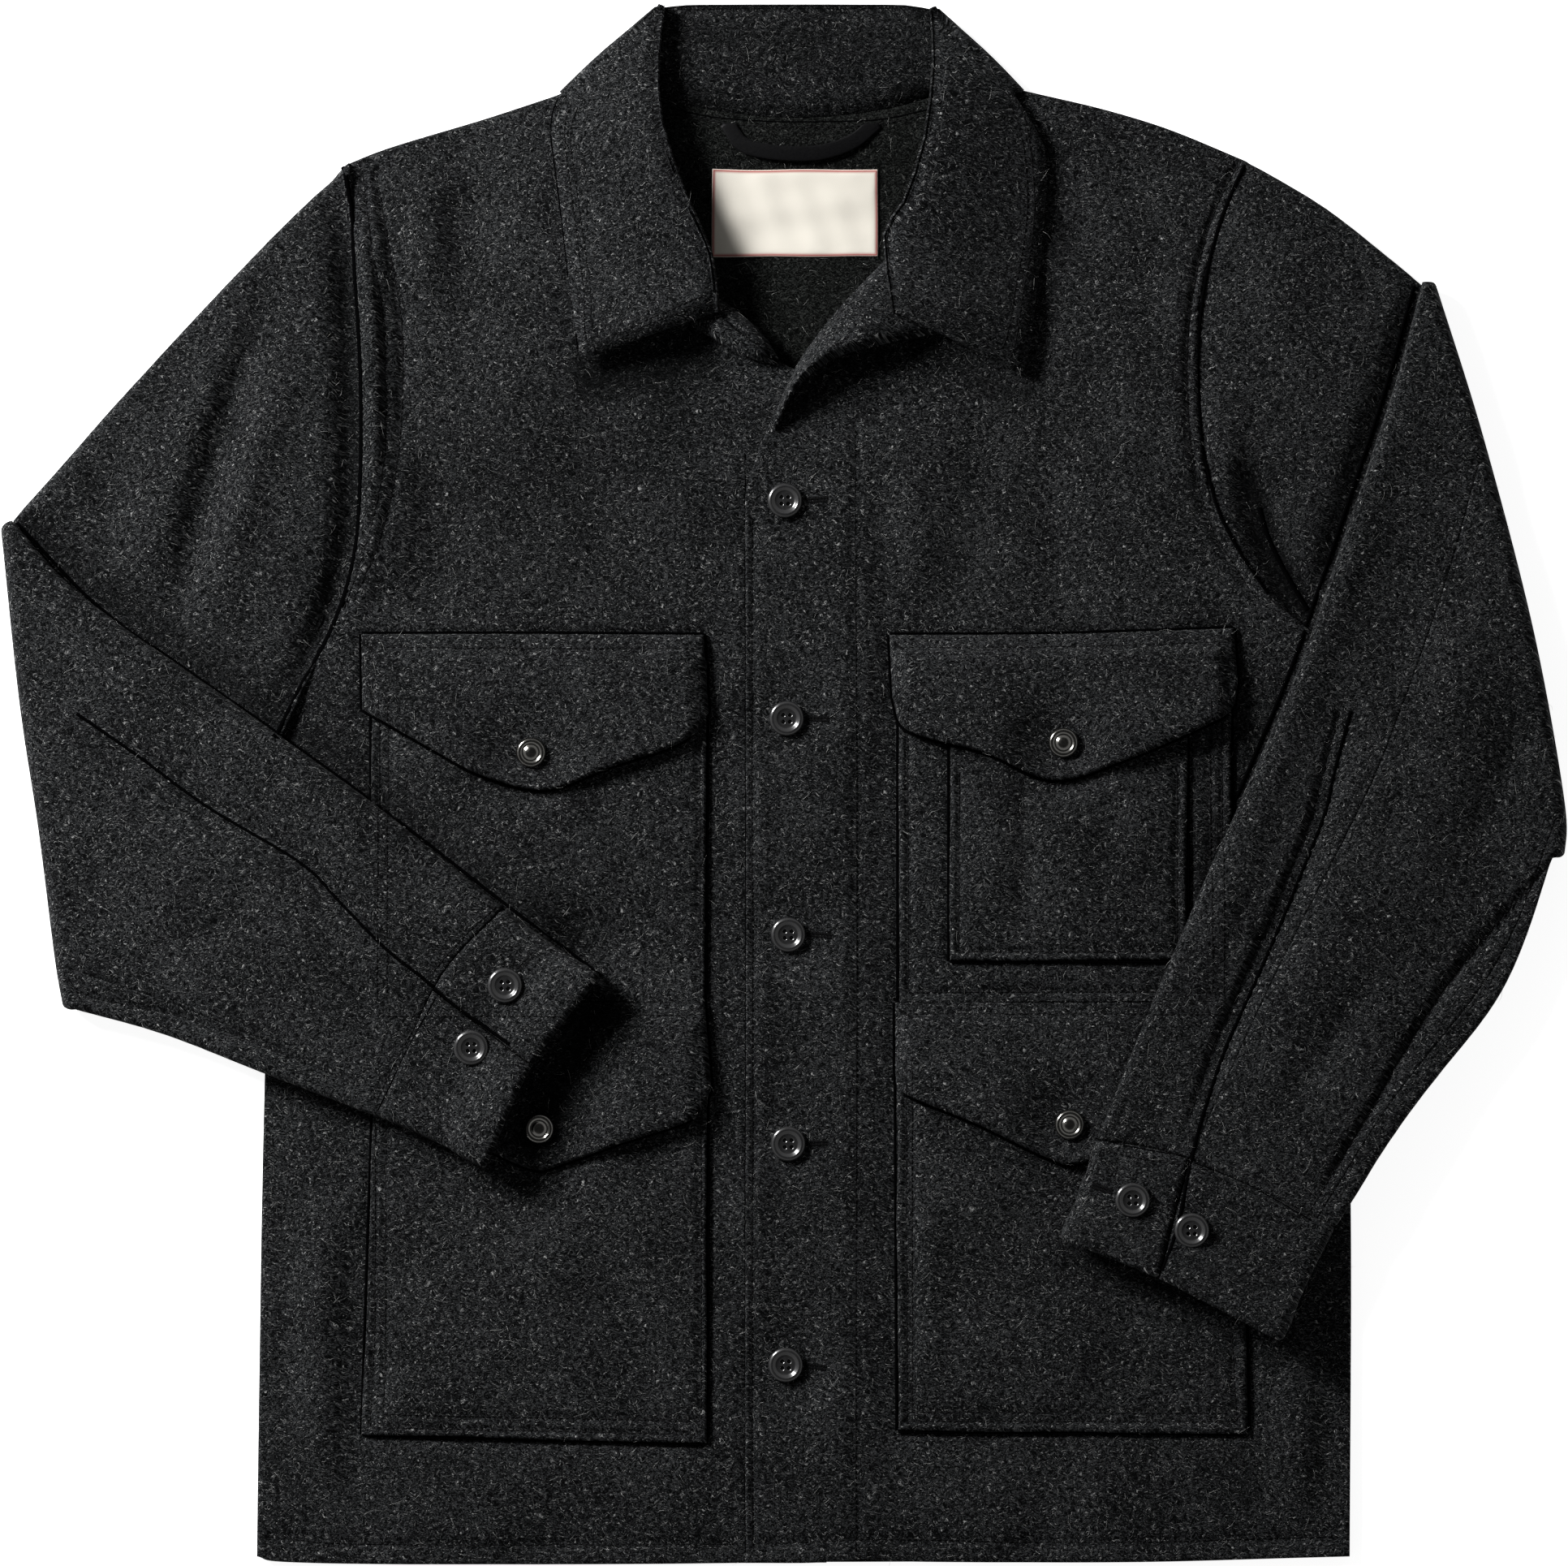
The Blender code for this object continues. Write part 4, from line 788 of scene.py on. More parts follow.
sleeveForm = {"height": 6.3, "cuffHeight": 11.0, "foldRadius": 3.8, "rise": 10.0, "cuffFlare": 7.0,
              "across": 81, "turns": 17, "deepest": -1.9, "overlap": 0.15}
sleeves = {
    "left": {"steps": (96, 150), "armhole": body["armholeLeft"][::-1],
        "top": [(-227, 320), (-316, 227), (-398.5, 134)], "under": [(-261, 25), (-315, -42), (-366, -116)],
        "fold": [(-398.5, 134), (-389, 44), (-379, -23), (-370.5, -90), (-366, -116)],
        "forearmOuter": [(-398.5, 134), (-357, 91), (-261, 23), (-201, -20.5), (-144.5, -64.5)],
        "forearmInner": [(-366, -116), (-309, -133), (-213, -170.5), (-209, -172)],
        "cuffSeam": [(-144.5, -64.5), (-178, -102), (-209, -172)],
        "cuffEnd": [(-95.5, -100.5), (-130, -146), (-153, -196.5)], "seams": ((0.31, 0.42), (0.93, 0.9)),
        "slit": (0.44, 0.5), "armPuff": 5.0, "forePuff": 3.4,
        "armCreases": [
            (9, -6.6, 395, 130, 408, 205, 421, 262, 428, 338, 433, 463, 433, 589, 425, 686, 402, 766, 362, 841, 320,
                930),
            (10, -4.6, 345, 300, 322, 400, 288, 489, 256, 607, 229, 713, 218, 820),
            (11, 2.6, 300, 380, 255, 489, 218, 600, 185, 720), (9, 2.0, 368, 400, 330, 540, 292, 650, 266, 770),
            (10, -1.8, 150, 540, 130, 620, 150, 720), (8, -3.8, -20, 620, 60, 700, 150, 775, 240, 848, 340, 925)],
        "foreCreases": [(8, 2.0, 20, 660, 170, 785, 300, 885, 430, 990, 560, 1080),
            (5, -2.4, 85, 865, 172, 927, 258, 990, 373, 1059, 476, 1162, 540, 1215),
            (5, -1.8, 110, 830, 190, 900, 290, 985), (22, 3.2, 90, 1000, 200, 1090, 320, 1170, 440, 1260),
            (9, -1.6, 150, 1180, 260, 1150, 330, 1080),
            (5, -1.6, 60, 1190, 109, 1222, 229, 1248, 344, 1290, 460, 1345),
            (6, -1.6, 430, 1010, 500, 1080, 560, 1140), (9, -1.8, 380, 1130, 440, 1220, 480, 1300),
            (8, 1.2, 560, 1080, 600, 1110, 640, 1130)],
        "rows": [(110, 875, 185, 925, 268, 986, 322, 1022, 384, 1056, 436, 1108, 486, 1158, 530, 1192),
            (75, 1190, 112, 1226, 229, 1252, 344, 1294, 447, 1336), (613, 1116, 574, 1152, 535, 1196),
            (533, 1228, 498, 1290, 466, 1354)]},
    "right": {"steps": (64, 190), "armhole": body["armholeRight"][::-1], "top": [(239, 322), (283, 294), (330, 258)],
        "under": [(283, 70), (340, 22), (397, -38)],
        "fold": [(330, 258), (355, 178), (381, 78), (397, -10), (397, -38)],
        "forearmOuter": [(330, 258), (314, 198), (286, 115), (265, 55), (211, -67), (161, -183.5)],
        "forearmInner": [(397, -38), (370, -107), (318, -174.5), (284.5, -228.5)],
        "cuffSeam": [(161, -183.5), (206, -193), (284.5, -228.5)],
        "cuffEnd": [(143.6, -235), (191, -254), (254.5, -286.7)], "seams": ((0.3, 0.37), (0.95, 0.92)),
        "slit": (0.37, 0.43), "armPuff": 3.4, "forePuff": 3.4,
        "armCreases": [
            (5, -1.4, 1560, 120, 1540, 199, 1520, 239, 1502, 288, 1489, 342, 1481, 400, 1479, 454, 1482, 530, 1491,
                583, 1507, 637, 1540, 700),
            (9, -7.5, 1525, 540, 1543, 605, 1572, 686, 1614, 762, 1650, 830),
            (9, 2.4, 1490, 460, 1512, 540, 1528, 600), (14, 1.8, 1560, 300, 1590, 420, 1620, 520),
            (10, -5.2, 1790, 280, 1752, 370, 1722, 460, 1684, 570, 1644, 690, 1590, 820)],
        "foreCreases": [(9, 2.4, 1775, 330, 1706, 560, 1646, 740, 1586, 900, 1526, 1060, 1466, 1220, 1410, 1370),
            (6, -3.6, 1676, 820, 1642, 953, 1600, 1080, 1567, 1151, 1529, 1236, 1504, 1292, 1475, 1377, 1445, 1480),
            (11, 1.8, 1720, 900, 1680, 1020, 1620, 1170, 1550, 1340),
            (20, 2.6, 1840, 600, 1800, 840, 1740, 1040, 1650, 1240), (10, -1.8, 1870, 860, 1850, 960, 1800, 1060),
            (4.5, -2.0, 1940, 1030, 1780, 1215, 1690, 1362, 1646, 1434, 1600, 1510),
            (9, -2.2, 1710, 1170, 1640, 1280, 1550, 1410), (12, -1.5, 1740, 640, 1730, 760, 1700, 880)],
        "rows": [(1648, 876, 1627, 953, 1614, 1003, 1584, 1080, 1554, 1151, 1516, 1236, 1491, 1292, 1462, 1377),
            (1922, 1046, 1778, 1216, 1686, 1364, 1643, 1435, 1606, 1496), (1352, 1412, 1400, 1424, 1452, 1432),
            (1476, 1440, 1530, 1462, 1606, 1500)]}}


def sleeveGrid(side):
    # flat rows down the upper arm, a half circle round the elbow fold, and flat rows down the forearm
    data, across = sleeves[side], sleeveForm["across"]
    armSteps, foreSteps = data["steps"]
    fold, armhole = along(data["fold"], across), along(data["armhole"], across)
    away = np.gradient(armhole, axis=0)[:, ::-1] * ((-1, 1) if side == "right" else (1, -1))
    armhole = armhole + unit(away) * cut["tuck"]
    arm = patch(armhole, fold, *(along([corner, *data[key][1:]], armSteps)
                                 for corner, key in ((armhole[0], "top"), (armhole[-1], "under"))))
    fore = patch(fold, along(data["cuffSeam"], across),
                 *(along(data[key], foreSteps) for key in ("forearmOuter", "forearmInner")))
    outward = unit(np.gradient(fold, axis=0)[:, ::-1] * (1, -1))
    outward = outward * np.sign(outward[:, :1]) * (-1 if side == "left" else 1)
    low, radius, turns = sleeveForm["height"] / 2, sleeveForm["foldRadius"], sleeveForm["turns"]
    angles, flat, onward = math.pi * shares(turns), np.zeros(armSteps - 1), shares(foreSteps)[1:]
    plan = np.concatenate([arm[:-1], fold + outward * (radius * np.sin(angles))[:, None, None], fore[1:]])
    height = np.concatenate([low + flat, low + radius * (1 - np.cos(angles)),
                             low + 2 * radius + sleeveForm["rise"] * onward ** 1.3])
    turn = np.concatenate([flat, angles, math.pi + 0 * onward])
    part = np.concatenate([flat, shares(turns), 1 + 0 * onward])
    normal = lifted(outward * np.sin(turn)[:, None, None], -np.cos(turn)[:, None] * np.ones(across))
    return [trimmed(rows) for rows in (plan, height, normal, part)]


def trimmed(rows):
    # every row but as many near the middle as leave 4k + 1 of them
    spare = (len(rows) - 1) % cut["coarse"]
    return np.delete(rows, len(rows) // 3 + 2 * np.arange(spare), axis=0)


def atShare(grid, where):
    # points of each row at shares of its columns, between the nearest two
    index = np.clip(where, 0, 1) * (grid.shape[1] - 1)
    left = np.minimum(index.astype(int), grid.shape[1] - 2)
    t = (index - left)[..., None]
    before, after = (np.take_along_axis(grid, k[..., None], axis=1) for k in (left, left + 1))
    return before * (1 - t) + after * t


def ramp(start, end, count):
    # even steps from one column of shares to another
    return start[:, None] + (end - start)[:, None] * shares(count)


def tubePlaces(first, last, inset, counts):
    # shares, sideways and up parts of a flat tube's section: outer layer, round the start, inner layer, round the end
    outer, wrap, inner, rest = counts
    far, one = 1 - inset, np.ones((len(first), 1))
    angles = math.pi * shares(wrap + 2)[1:-1]
    where = [ramp(first, inset, outer), ramp(inset, inset, wrap), ramp(inset, far, inner), ramp(far, far, wrap),
             ramp(far, last, rest)]
    side = [0 * where[0], one * -np.sin(angles), 0 * where[2], one * np.sin(angles), 0 * where[4]]
    up = [0 * where[0] + 1, one * np.cos(angles), 0 * where[2] - 1, one * -np.cos(angles), 0 * where[4] + 1]
    return np.hstack(where), np.hstack(side), np.hstack(up)


def tubeWall(surface, half, thick, where, side, up):
    # the middle surface, moved out by half the tube's height, less the thickness for the inner wall
    plan, height, normal = surface
    start, end = (unit(way)[:, None] for way in (plan[:, 1] - plan[:, 0], plan[:, -1] - plan[:, -2]))
    sideways = np.where((where < 0.5)[..., None], start, end) * side[..., None]
    way = lifted(sideways, np.zeros(where.shape)) + up[..., None] * atShare(normal, where)
    base = lifted(atShare(plan, where), height[:, None] * np.ones(where.shape))
    return base + way * (half - thick), base + way * half


def puffedShell(name, low, high, upward, outward):
    # a wall whose outer side moves out by outward + upward * the part of its way that points up
    way = unit(high - low)
    hang = outward + upward * np.clip(way[..., 2], 0, 1)
    return shell(name, low, high + way * hang[..., None], "wool")


def sleeveRelief(side, points, part):
    # creases of the upper arm fade out at the fold, those of the forearm fade in
    data, fade = sleeves[side], part[:, None]
    arm, fore = (data[key + "Puff"] + relief(points, data[key + "Creases"]) for key in ("arm", "fore"))
    slow = ripple(points, 21, (50, 130), 0.7) + ripple(points, 22, (8, 17), 0.08)
    toCuff = (np.linspace(1, 0, len(part)) + 0.02)[:, None]
    fromFold = smooth(np.abs(fade - 0.5) * 2) * smooth(toCuff / 0.12)
    wanted = (arm + slow) * (1 - fade) + (fore + slow + groove(points, data["rows"])) * fade
    return np.maximum(sleeveForm["deepest"], wanted * fromFold)


def makeSleeve(side, wearer):
    # the top sleeve runs from seam to seam round both edges of the tube, the under sleeve between the seams
    *surface, part = sleeveGrid(side)
    half, thick, ends = sleeveForm["height"] / 2, cut["cloth"], surface[0][:, [0, -1]]
    width = np.linalg.norm(ends[:, 1] - ends[:, 0], axis=1)
    first, last = (atArm + (atCuff - atArm) * shares(len(part)) for atArm, atCuff in sleeves[side]["seams"])
    strip = ramp(first - sleeveForm["overlap"] / width, last + sleeveForm["overlap"] / width, 57)
    made = []
    for name, places in (("Top", tubePlaces(first, last, half / width, (36, 9, 76, 11))),
                         ("Under", (strip, 0 * strip, 0 * strip + 1))):
        low, high = tubeWall(surface, half, thick, *places)
        ends = -thick * 0.3 * (1 - rounded(rimDistance(high, "ns"), 2.4))
        made.append(puffedShell(f"clothSleeve{name}_{wearer}", low, high, sleeveRelief(side, high, part), ends))
    return *made, surface[1][-1]


def makeCuff(side, wearer, height):
    # a wider tube of double cloth beyond the cuff seam, slit where it closes and flared upward at its end
    data, steps, thick = sleeves[side], shares(33), cut["doubleCloth"]
    seam, end = along(data["cuffSeam"], 61), along(data["cuffEnd"], 61)
    plan = patch(seam, end, *(along([seam[k], end[k]], len(steps)) for k in (0, -1)))
    middle = data["slit"][0] + (data["slit"][1] - data["slit"][0]) * steps
    width = np.linalg.norm(plan[:, -1] - plan[:, 0], axis=1)
    half, slit = sleeveForm["cuffHeight"] / 2, cut["gap"] / width
    surface = plan, np.full(len(plan), height), lifted(0 * plan, np.ones(plan.shape[:2]))
    places = tubePlaces(middle - slit, middle + slit, half / width, (30, 11, 28, 41))
    low, high = tubeWall(surface, half, thick, *places)
    hang = -thick * 0.5 * (1 - rounded(rimDistance(high), 3.0)) + ripple(high, 31, (14, 40), 0.25)
    flare = sleeveForm["cuffFlare"] * smooth((steps - 0.45) / 0.5)[:, None]
    return puffedShell("clothCuff_" + wearer, low, high, flare, hang)


sleevePieces = []
for side, wearer in (("left", "right"), ("right", "left")):
    top, under, level = makeSleeve(side, wearer)
    cuff = makeCuff(side, wearer, level)
    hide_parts("sleeve_top_" + wearer)
    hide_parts("sleeve_under_" + wearer)
    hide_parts("cuff_" + wearer)
    sleevePieces += [top, under, cuff]
print("stage: sleeves and cuffs made")


# The collar: sections from the neck seam over the roll line to the outer edge. Each section has x, y of the neck
# seam, the roll line and the outer edge, then the heights of the seam, of the leaf at the roll and at the edge.

collar = {"frontFrom": 275.0, "frontRun": 45.0, "backFrom": 335, "backRun": 60, "backCalm": 0.85, "steps": 8,
    "lifts": (8.0, 5.0), "rollTurn": (90, 54, 18, -18, -54, -90),
    "bulge": (0.25, 0.25, 0.25, 0.25, 0.25, 0.25, 0.25, 0.35, 0.55, 0.8, 0.95, 1.0), "dome": 1.5, "ridge": 8.5,
    "rollRadius": 2.2, "corner": (4.8, 1.5, 1.5), "wrap": (60, 30, 0, -30, -60),
    "under": [(6, 343.5, 6, 399.5, 6, 347, 5.4, 1.5, 1.5), (-28, 346, -31, 399.5, -44, 348, 5.4, 1.5, 1.5),
        (-57, 352, -52, 399.5, -82, 352, 5.2, 1.5, 1.5)],
    "overLeft": [(-79, 363.5, -64.5, 398.5, -111.5, 353, 8.8, 14.2, 12.0),
        (-81.5, 345, -67.5, 372, -120.5, 336, 8.3, 14.2, 11.8), (-81.5, 320, -65.5, 340, -117, 305, 7.6, 14.0, 10.8),
        (-74, 293, -53.5, 303, -112, 262, 7.4, 13.6, 10.2), (-56, 265, -40, 272, -108, 232, 7.6, 13.0, 10.2),
        (-39.5, 240.5, -36.5, 242, -105, 218, 8.6, 12.4, 10.2)],
    "overRight": [(-78, 363.5, -66, 397.5, -107.5, 354, 8.8, 14.2, 12.0),
        (-81.5, 345, -67.5, 372, -122.5, 328, 8.3, 14.2, 11.8), (-81.5, 320, -63, 332, -122.5, 291, 8.0, 14.2, 10.8),
        (-70, 293, -52, 298, -119, 258, 8.0, 14.2, 10.4), (-56, 279, -42, 281, -115, 226, 9.6, 14.6, 10.4),
        (-48.5, 243, -47, 241.5, -111, 211, 11.2, 15.4, 10.6)],
    "rows": [(704, 128, 696, 166, 706, 254, 719, 355, 729, 428, 800, 402, 872, 374),
        (712, 134, 703, 170, 713, 250, 727, 350, 738, 418, 806, 393, 868, 366),
        (1248, 124, 1262, 150, 1271, 206, 1273, 272, 1260, 360, 1241, 444, 1196, 412, 1112, 376),
        (1240, 130, 1254, 156, 1263, 208, 1264, 270, 1251, 352, 1233, 430, 1200, 402, 1116, 367),
        (838, 139, 896, 152, 966, 156, 1072, 154, 1148, 140)]}


def collarSection(row, side=-1.0):
    # straight stand from the seam, half a circle round the roll line, straight leaf to the edge
    seamX, seamY, rollX, rollY, edgeX, edgeY, seamZ, leafZ, edgeZ = row
    seam, rim = np.array([seamX, seamY, seamZ], float), np.array([edgeX, edgeY, edgeZ], float)
    radius = collar["rollRadius"]
    centre = np.array([rollX, rollY, leafZ + side * radius], float)
    way = np.array([*unit(rim[:2] - centre[:2]), 0.0])
    angles = np.radians(collar["rollTurn"])[:, None]
    turn = centre - way * radius * np.cos(angles) + np.array([0, 0, side * radius]) * np.sin(angles)
    rise = turn[0] - seam
    clear = min(0.3, cut["seamGap"] / np.linalg.norm(rise))
    stand = seam + rise * np.array([[clear], [0.5 + clear / 2]])
    leaf = turn[-1] + (rim - turn[-1]) * shares(5)[1:, None]
    return np.vstack([stand, turn, leaf])


def halfCollar(overRows):
    # from the middle of the back, round the corner of the shoulder in half a circle, to the collar's end
    under = [collarSection(row, 1.0) for row in collar["under"]]
    corner = collarSection((*overRows[0][:6], *collar["corner"]), 1.0)
    over = [collarSection(row) for row in overRows]
    outward = unit((corner[-1, :2] - corner[-5, :2])[::-1] * (1, -1))
    outward = outward * np.sign(outward[1])
    middle, reach = (corner + over[0]) / 2, (over[0][:, 2] - corner[:, 2]) / 2
    angles = np.radians(collar["wrap"])[:, None]
    wrap = np.repeat(middle[None], len(angles), axis=0)
    wrap[..., 2] -= reach * np.sin(angles)
    wrap[..., :2] += outward * (reach * collar["bulge"] * np.cos(angles))[..., None]
    return np.concatenate([under, corner[None], wrap, over])


def refine(grid, steps):
    # the same surface on a finer grid: curves through the rows, then through the columns
    for columns in range(2):
        grid = bend(grid.reshape(len(grid), -1), steps).reshape(-1, *grid.shape[1:]).transpose(1, 0, 2)
    return grid


def makeCollar():
    # both halves as one sheet, raised in a ridge along the roll line and lifted toward its front ends
    left, right = halfCollar(collar["overLeft"]), halfCollar(collar["overRight"])
    right[..., 0] = 2 * cut["neckCentre"] - right[..., 0]
    middle = refine(np.concatenate([left[::-1], right[1:]]), collar["steps"])
    away = np.cumsum(np.linalg.norm(np.diff(middle, axis=1, prepend=middle[:, :1]), axis=-1), axis=1)
    stand, leaf = away[:, [5 * collar["steps"]]], away[:, -1:]
    fromRoll = away - stand
    toRoll = np.where(fromRoll < 0, 1 + fromRoll / stand, 1 - fromRoll / (leaf - stand))
    front = smooth((collar["frontFrom"] - middle[..., 1]) / collar["frontRun"])
    atBack = smooth((middle[..., 1] - collar["backFrom"]) / collar["backRun"])
    ridge = collar["ridge"] * smooth(toRoll) * (1 - collar["backCalm"] * atBack)
    lift = np.where(middle[..., 0] < cut["neckCentre"], *collar["lifts"]) * smooth(fromRoll / 40.0) * front
    middle[..., 2] += ridge + lift
    normal = unit(np.cross(np.gradient(middle, axis=1), np.gradient(middle, axis=0)))
    half = cut["collarCloth"] / 2
    low, high = middle - normal * half, middle + normal * half
    dome = collar["dome"] * smooth(fromRoll / 20.0) * smooth((leaf - away) / 26.0)
    pattern = dome + groove(high, collar["rows"], 2.3) + ripple(high, 51, (18, 60), 0.45)
    hang = smooth(normal[..., 2] * 2) * pattern - half * (1 - rounded(rimDistance(high), 2.6))
    return shell("clothCollar", low, high + normal * hang[..., None], "wool")


collarPiece = makeCollar()
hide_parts("collar")
print("stage: collar made")


# Buttons and snap caps: turned profiles, with four real hollows through each button's well

button = {"sides": 60, "steps": 46, "holeGap": 1.75, "holeRadius": 1.15, "holeDepth": 1.7,
    "profile": [(0, 1.75), (3.8, 1.72), (5.0, 1.85), (5.8, 2.35), (6.6, 2.95), (7.1, 3.2), (7.6, 3.1), (8.5, 2.55),
        (9.0, 1.8), (8.7, 0.7), (6.6, 0.05), (0, 0)]}
snapCap = {"sides": 48, "steps": 34,
    "profile": [(0, 2.9), (1.6, 2.75), (3.0, 2.25), (3.9, 1.6), (4.5, 1.5), (5.2, 2.0), (6.0, 2.3), (6.9, 1.95),
        (7.5, 1.2), (7.75, 0.5), (7.0, 0.1), (0, 0)]}


def turnedPiece(node, raised, form, finish, tilt=(0.0, 0.0)):
    # the profile swept round the axis; each hollow takes depth * smooth(1 - distance / radius) off the top
    profile, sides, name = form["profile"], form["sides"], "turned_" + node
    line = resample(bend(profile, 6), shares(form["steps"]))[1:-1]
    angles = np.linspace(0, 2 * math.pi, sides, endpoint=False)
    ring = np.stack([np.cos(angles), np.sin(angles)], axis=-1)
    grid = lifted(line[:, None, :1] * ring, line[:, 1:] * np.ones(sides))
    if "holeGap" in form:
        spots = np.array([(a, b) for a in (-1, 1) for b in (-1, 1)]) * form["holeGap"]
        gaps = np.linalg.norm(grid[:, :, None, :2] - spots, axis=-1).min(axis=-1)
        isTop = (np.arange(len(line)) < np.argmax(line[:, 0]))[:, None]
        grid[..., 2] -= form["holeDepth"] * smooth((form["holeRadius"] - gaps) / 0.35) * isTop
    grid[..., 2] += grid[..., 0] * tilt[0] + grid[..., 1] * tilt[1]
    index = np.arange(len(line) * sides).reshape(len(line), sides)
    poles, ahead = np.full((2, sides), index.size) + [[0], [1]], np.roll(index, -1, axis=1)
    ends = [np.stack([poles[0], index[0], ahead[0]], axis=-1), np.stack([poles[1], ahead[-1], index[-1]], axis=-1)]
    low, high = (np.array(corner) * 1000 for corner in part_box(node))
    centre = np.array([*((low + high) / 2 - shift)[:2], low[2] + raised])
    points = np.vstack([grid.reshape(-1, 3), [[0, 0, profile[0][1]], [0, 0, profile[-1][1]]]]) + centre
    made = addPiece(name, meshOf(name, points, turnedOver(quadsOf(index, closed=True)), *ends), finish)
    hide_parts(node)


buttonNodes = ([f"button_front_{k}" for k in range(1, 6)]
               + [f"button_cuff_{side}_{k}" for side in ("left", "right") for k in (1, 2)])
for k, node in enumerate(buttonNodes):
    turnedPiece(node, 0.1, button, "buttonGloss", np.random.default_rng(60 + k).uniform(-0.03, 0.03, 2))
for name in fastened["snaps"]:
    turnedPiece("snap_" + name, 1.3, snapCap, "snapCap")
print("stage: buttons and snap caps made")


# The bare label and the hanger loop inside the neck

label = {"centre": (5.6, 295), "width": 86.0, "height": 45.0, "thick": 0.6, "lineInset": 0.9, "lineWidth": 1.1}
loop = {"path": [(-30, 342), (-19, 329), (12, 325.5), (34, 331), (48, 342)], "width": 7.6, "thick": 0.8,
        "steps": 61, "raised": 2.0, "seam": 341.3}


def makeLabel():
    # a thin rectangle that lifts a little at its corners, with a woven line at a set distance from its rim
    signs = np.array([(-1, -1), (1, -1), (1, 1), (-1, 1)])
    plan = rectangle(label["centre"] + signs * (label["width"] / 2, label["height"] / 2), 0.8)
    plan = plan + ripple(plan, 71, (40, 90), 0.25)[..., None]
    low = neckLift(plan) + stack
    distance = rimDistance(lifted(plan, low))
    wave = ripple(plan, 72, (14, 40), 0.22) + 0.35
    high = low + label["thick"] * (0.5 + 0.5 * rounded(distance, 0.6)) + wave * smooth(distance / 3)
    made = shell("clothLabel", lifted(plan, low), lifted(plan, high), "labelWeave")
    pointValues(made.data, "woven", bell((distance - label["lineInset"]) / label["lineWidth"] * 2))
    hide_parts("label")


def makeLoop():
    # a folded tape: a flat band round a smooth path, arched across its width and lifted in the middle
    path = along(loop["path"], loop["steps"])
    side = unit(np.gradient(path, axis=0)[:, ::-1] * (-1, 1))
    across = np.linspace(-0.5, 0.5, 13)
    plan = path[:, None] + side[:, None] * (loop["width"] * across)[:, None]
    plan[..., 1] = np.minimum(plan[..., 1], loop["seam"])
    low = neckLift(plan) + stack + loop["raised"] * np.sin(math.pi * shares(loop["steps"]))[:, None]
    high = low + loop["thick"] * (0.7 + 0.3 * np.sqrt(1 - (2 * across) ** 2 * 0.98))
    made = shell("clothLoop", lifted(plan, low), lifted(plan, high), "satinTape")
    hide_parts("hanger_loop")


makeLabel()
makeLoop()
print("stage: label and hanger loop made")


# Sewing: stitches laid on whatever cloth is on top at each place

bpy.context.view_layer.update()
clothPieces = [*bodyPieces, *pocketPieces, *flapPieces, collarPiece, *sleevePieces]
surfaces = [BVHTree.FromObject(piece, bpy.context.evaluated_depsgraph_get()) for piece in clothPieces]


def topCloth(points):
    # height and facing of the uppermost cloth under each plan point, from rays sent straight down
    found = np.full((len(points), 6), np.nan)
    start = (np.c_[points, np.full(len(points), 100.0)] + shift) * 0.001
    for k, origin in enumerate(start):
        hits = [tree.ray_cast(Vector(origin), Vector((0, 0, -1))) for tree in surfaces]
        hits = [(h[0], h[1]) for h in hits if h[0] is not None]
        if hits:
            spot, facing = max(hits, key=lambda h: h[0].z)
            found[k] = (*(np.array(spot) * 1000 - shift), *facing)
    return found


def alongCloth(facing, way):
    # plan directions laid flat on the cloth, and the directions across them
    way = np.c_[way, np.zeros(len(way))]
    way = unit(way - (way * facing).sum(axis=1)[:, None] * facing)
    return way, np.cross(facing, way)


def rods(name, lines, across, up, thick, sides, finish):
    # closed rods along lines of points: each ring is thick * (across * cos + up * sin) round its point
    angles = np.linspace(0, 2 * math.pi, sides, endpoint=False)[:, None]
    ring = across[..., None, :] * np.cos(angles) + up[..., None, :] * np.sin(angles)
    points = lines[:, :, None] + ring * np.asarray(thick)[..., None, None]
    index = np.arange(points[..., 0].size).reshape(points.shape[:3])
    mesh = meshOf(name, points.reshape(-1, 3), quadsOf(index, closed=True), index[:, 0, ::-1], index[:, -1])
    return addPiece(name, mesh, finish)


def stitches(name, places, length, radius, sink, seed):
    # each stitch is a rod of five sides whose radius is sqrt(1 - s^4) along it, laid along its way on the cloth
    spots, ways = (np.vstack(part) for part in zip(*places))
    found = topCloth(spots)
    good = ~np.isnan(found[:, 0])
    base, facing = found[good, None, :3], found[good, 3:]
    way, across = alongCloth(facing, ways[good])
    s = np.linspace(-1, 1, 4)[:, None]
    thick = radius * np.sqrt(np.clip(1 - s[:, 0] ** 4, 0.12, 1))
    scale = np.random.default_rng(seed).uniform(0.9, 1.08, len(base))[:, None, None]
    rise = radius - sink - 0.25 * radius * s ** 2
    lines = base + facing[:, None] * rise + way[:, None] * (s * length / 2) * scale
    rods(name, lines, across[:, None], facing[:, None], thick, 5, "thread")


def rowSpots(row):
    # evenly spaced places along a row and the way the row runs there
    line = stitchLine(row)
    count = max(2, int(lengthsOf(line)[-1] / sewing["pitch"]))
    where = resample(line, (np.arange(count) + 0.5) / count)
    return where, np.gradient(where, axis=0)


def barSpots(ends, across=0.0):
    # close places along a short line, with the way across it
    a, b = place(ends)
    count = max(3, int(np.linalg.norm(b - a) / sewing["tackPitch"]))
    side = unit((b - a)[::-1] * (-1, 1))
    where = a + (b - a) * ((np.arange(count) + 0.5) / count)[:, None] + side * across
    return where, np.repeat(side[None], count, axis=0)


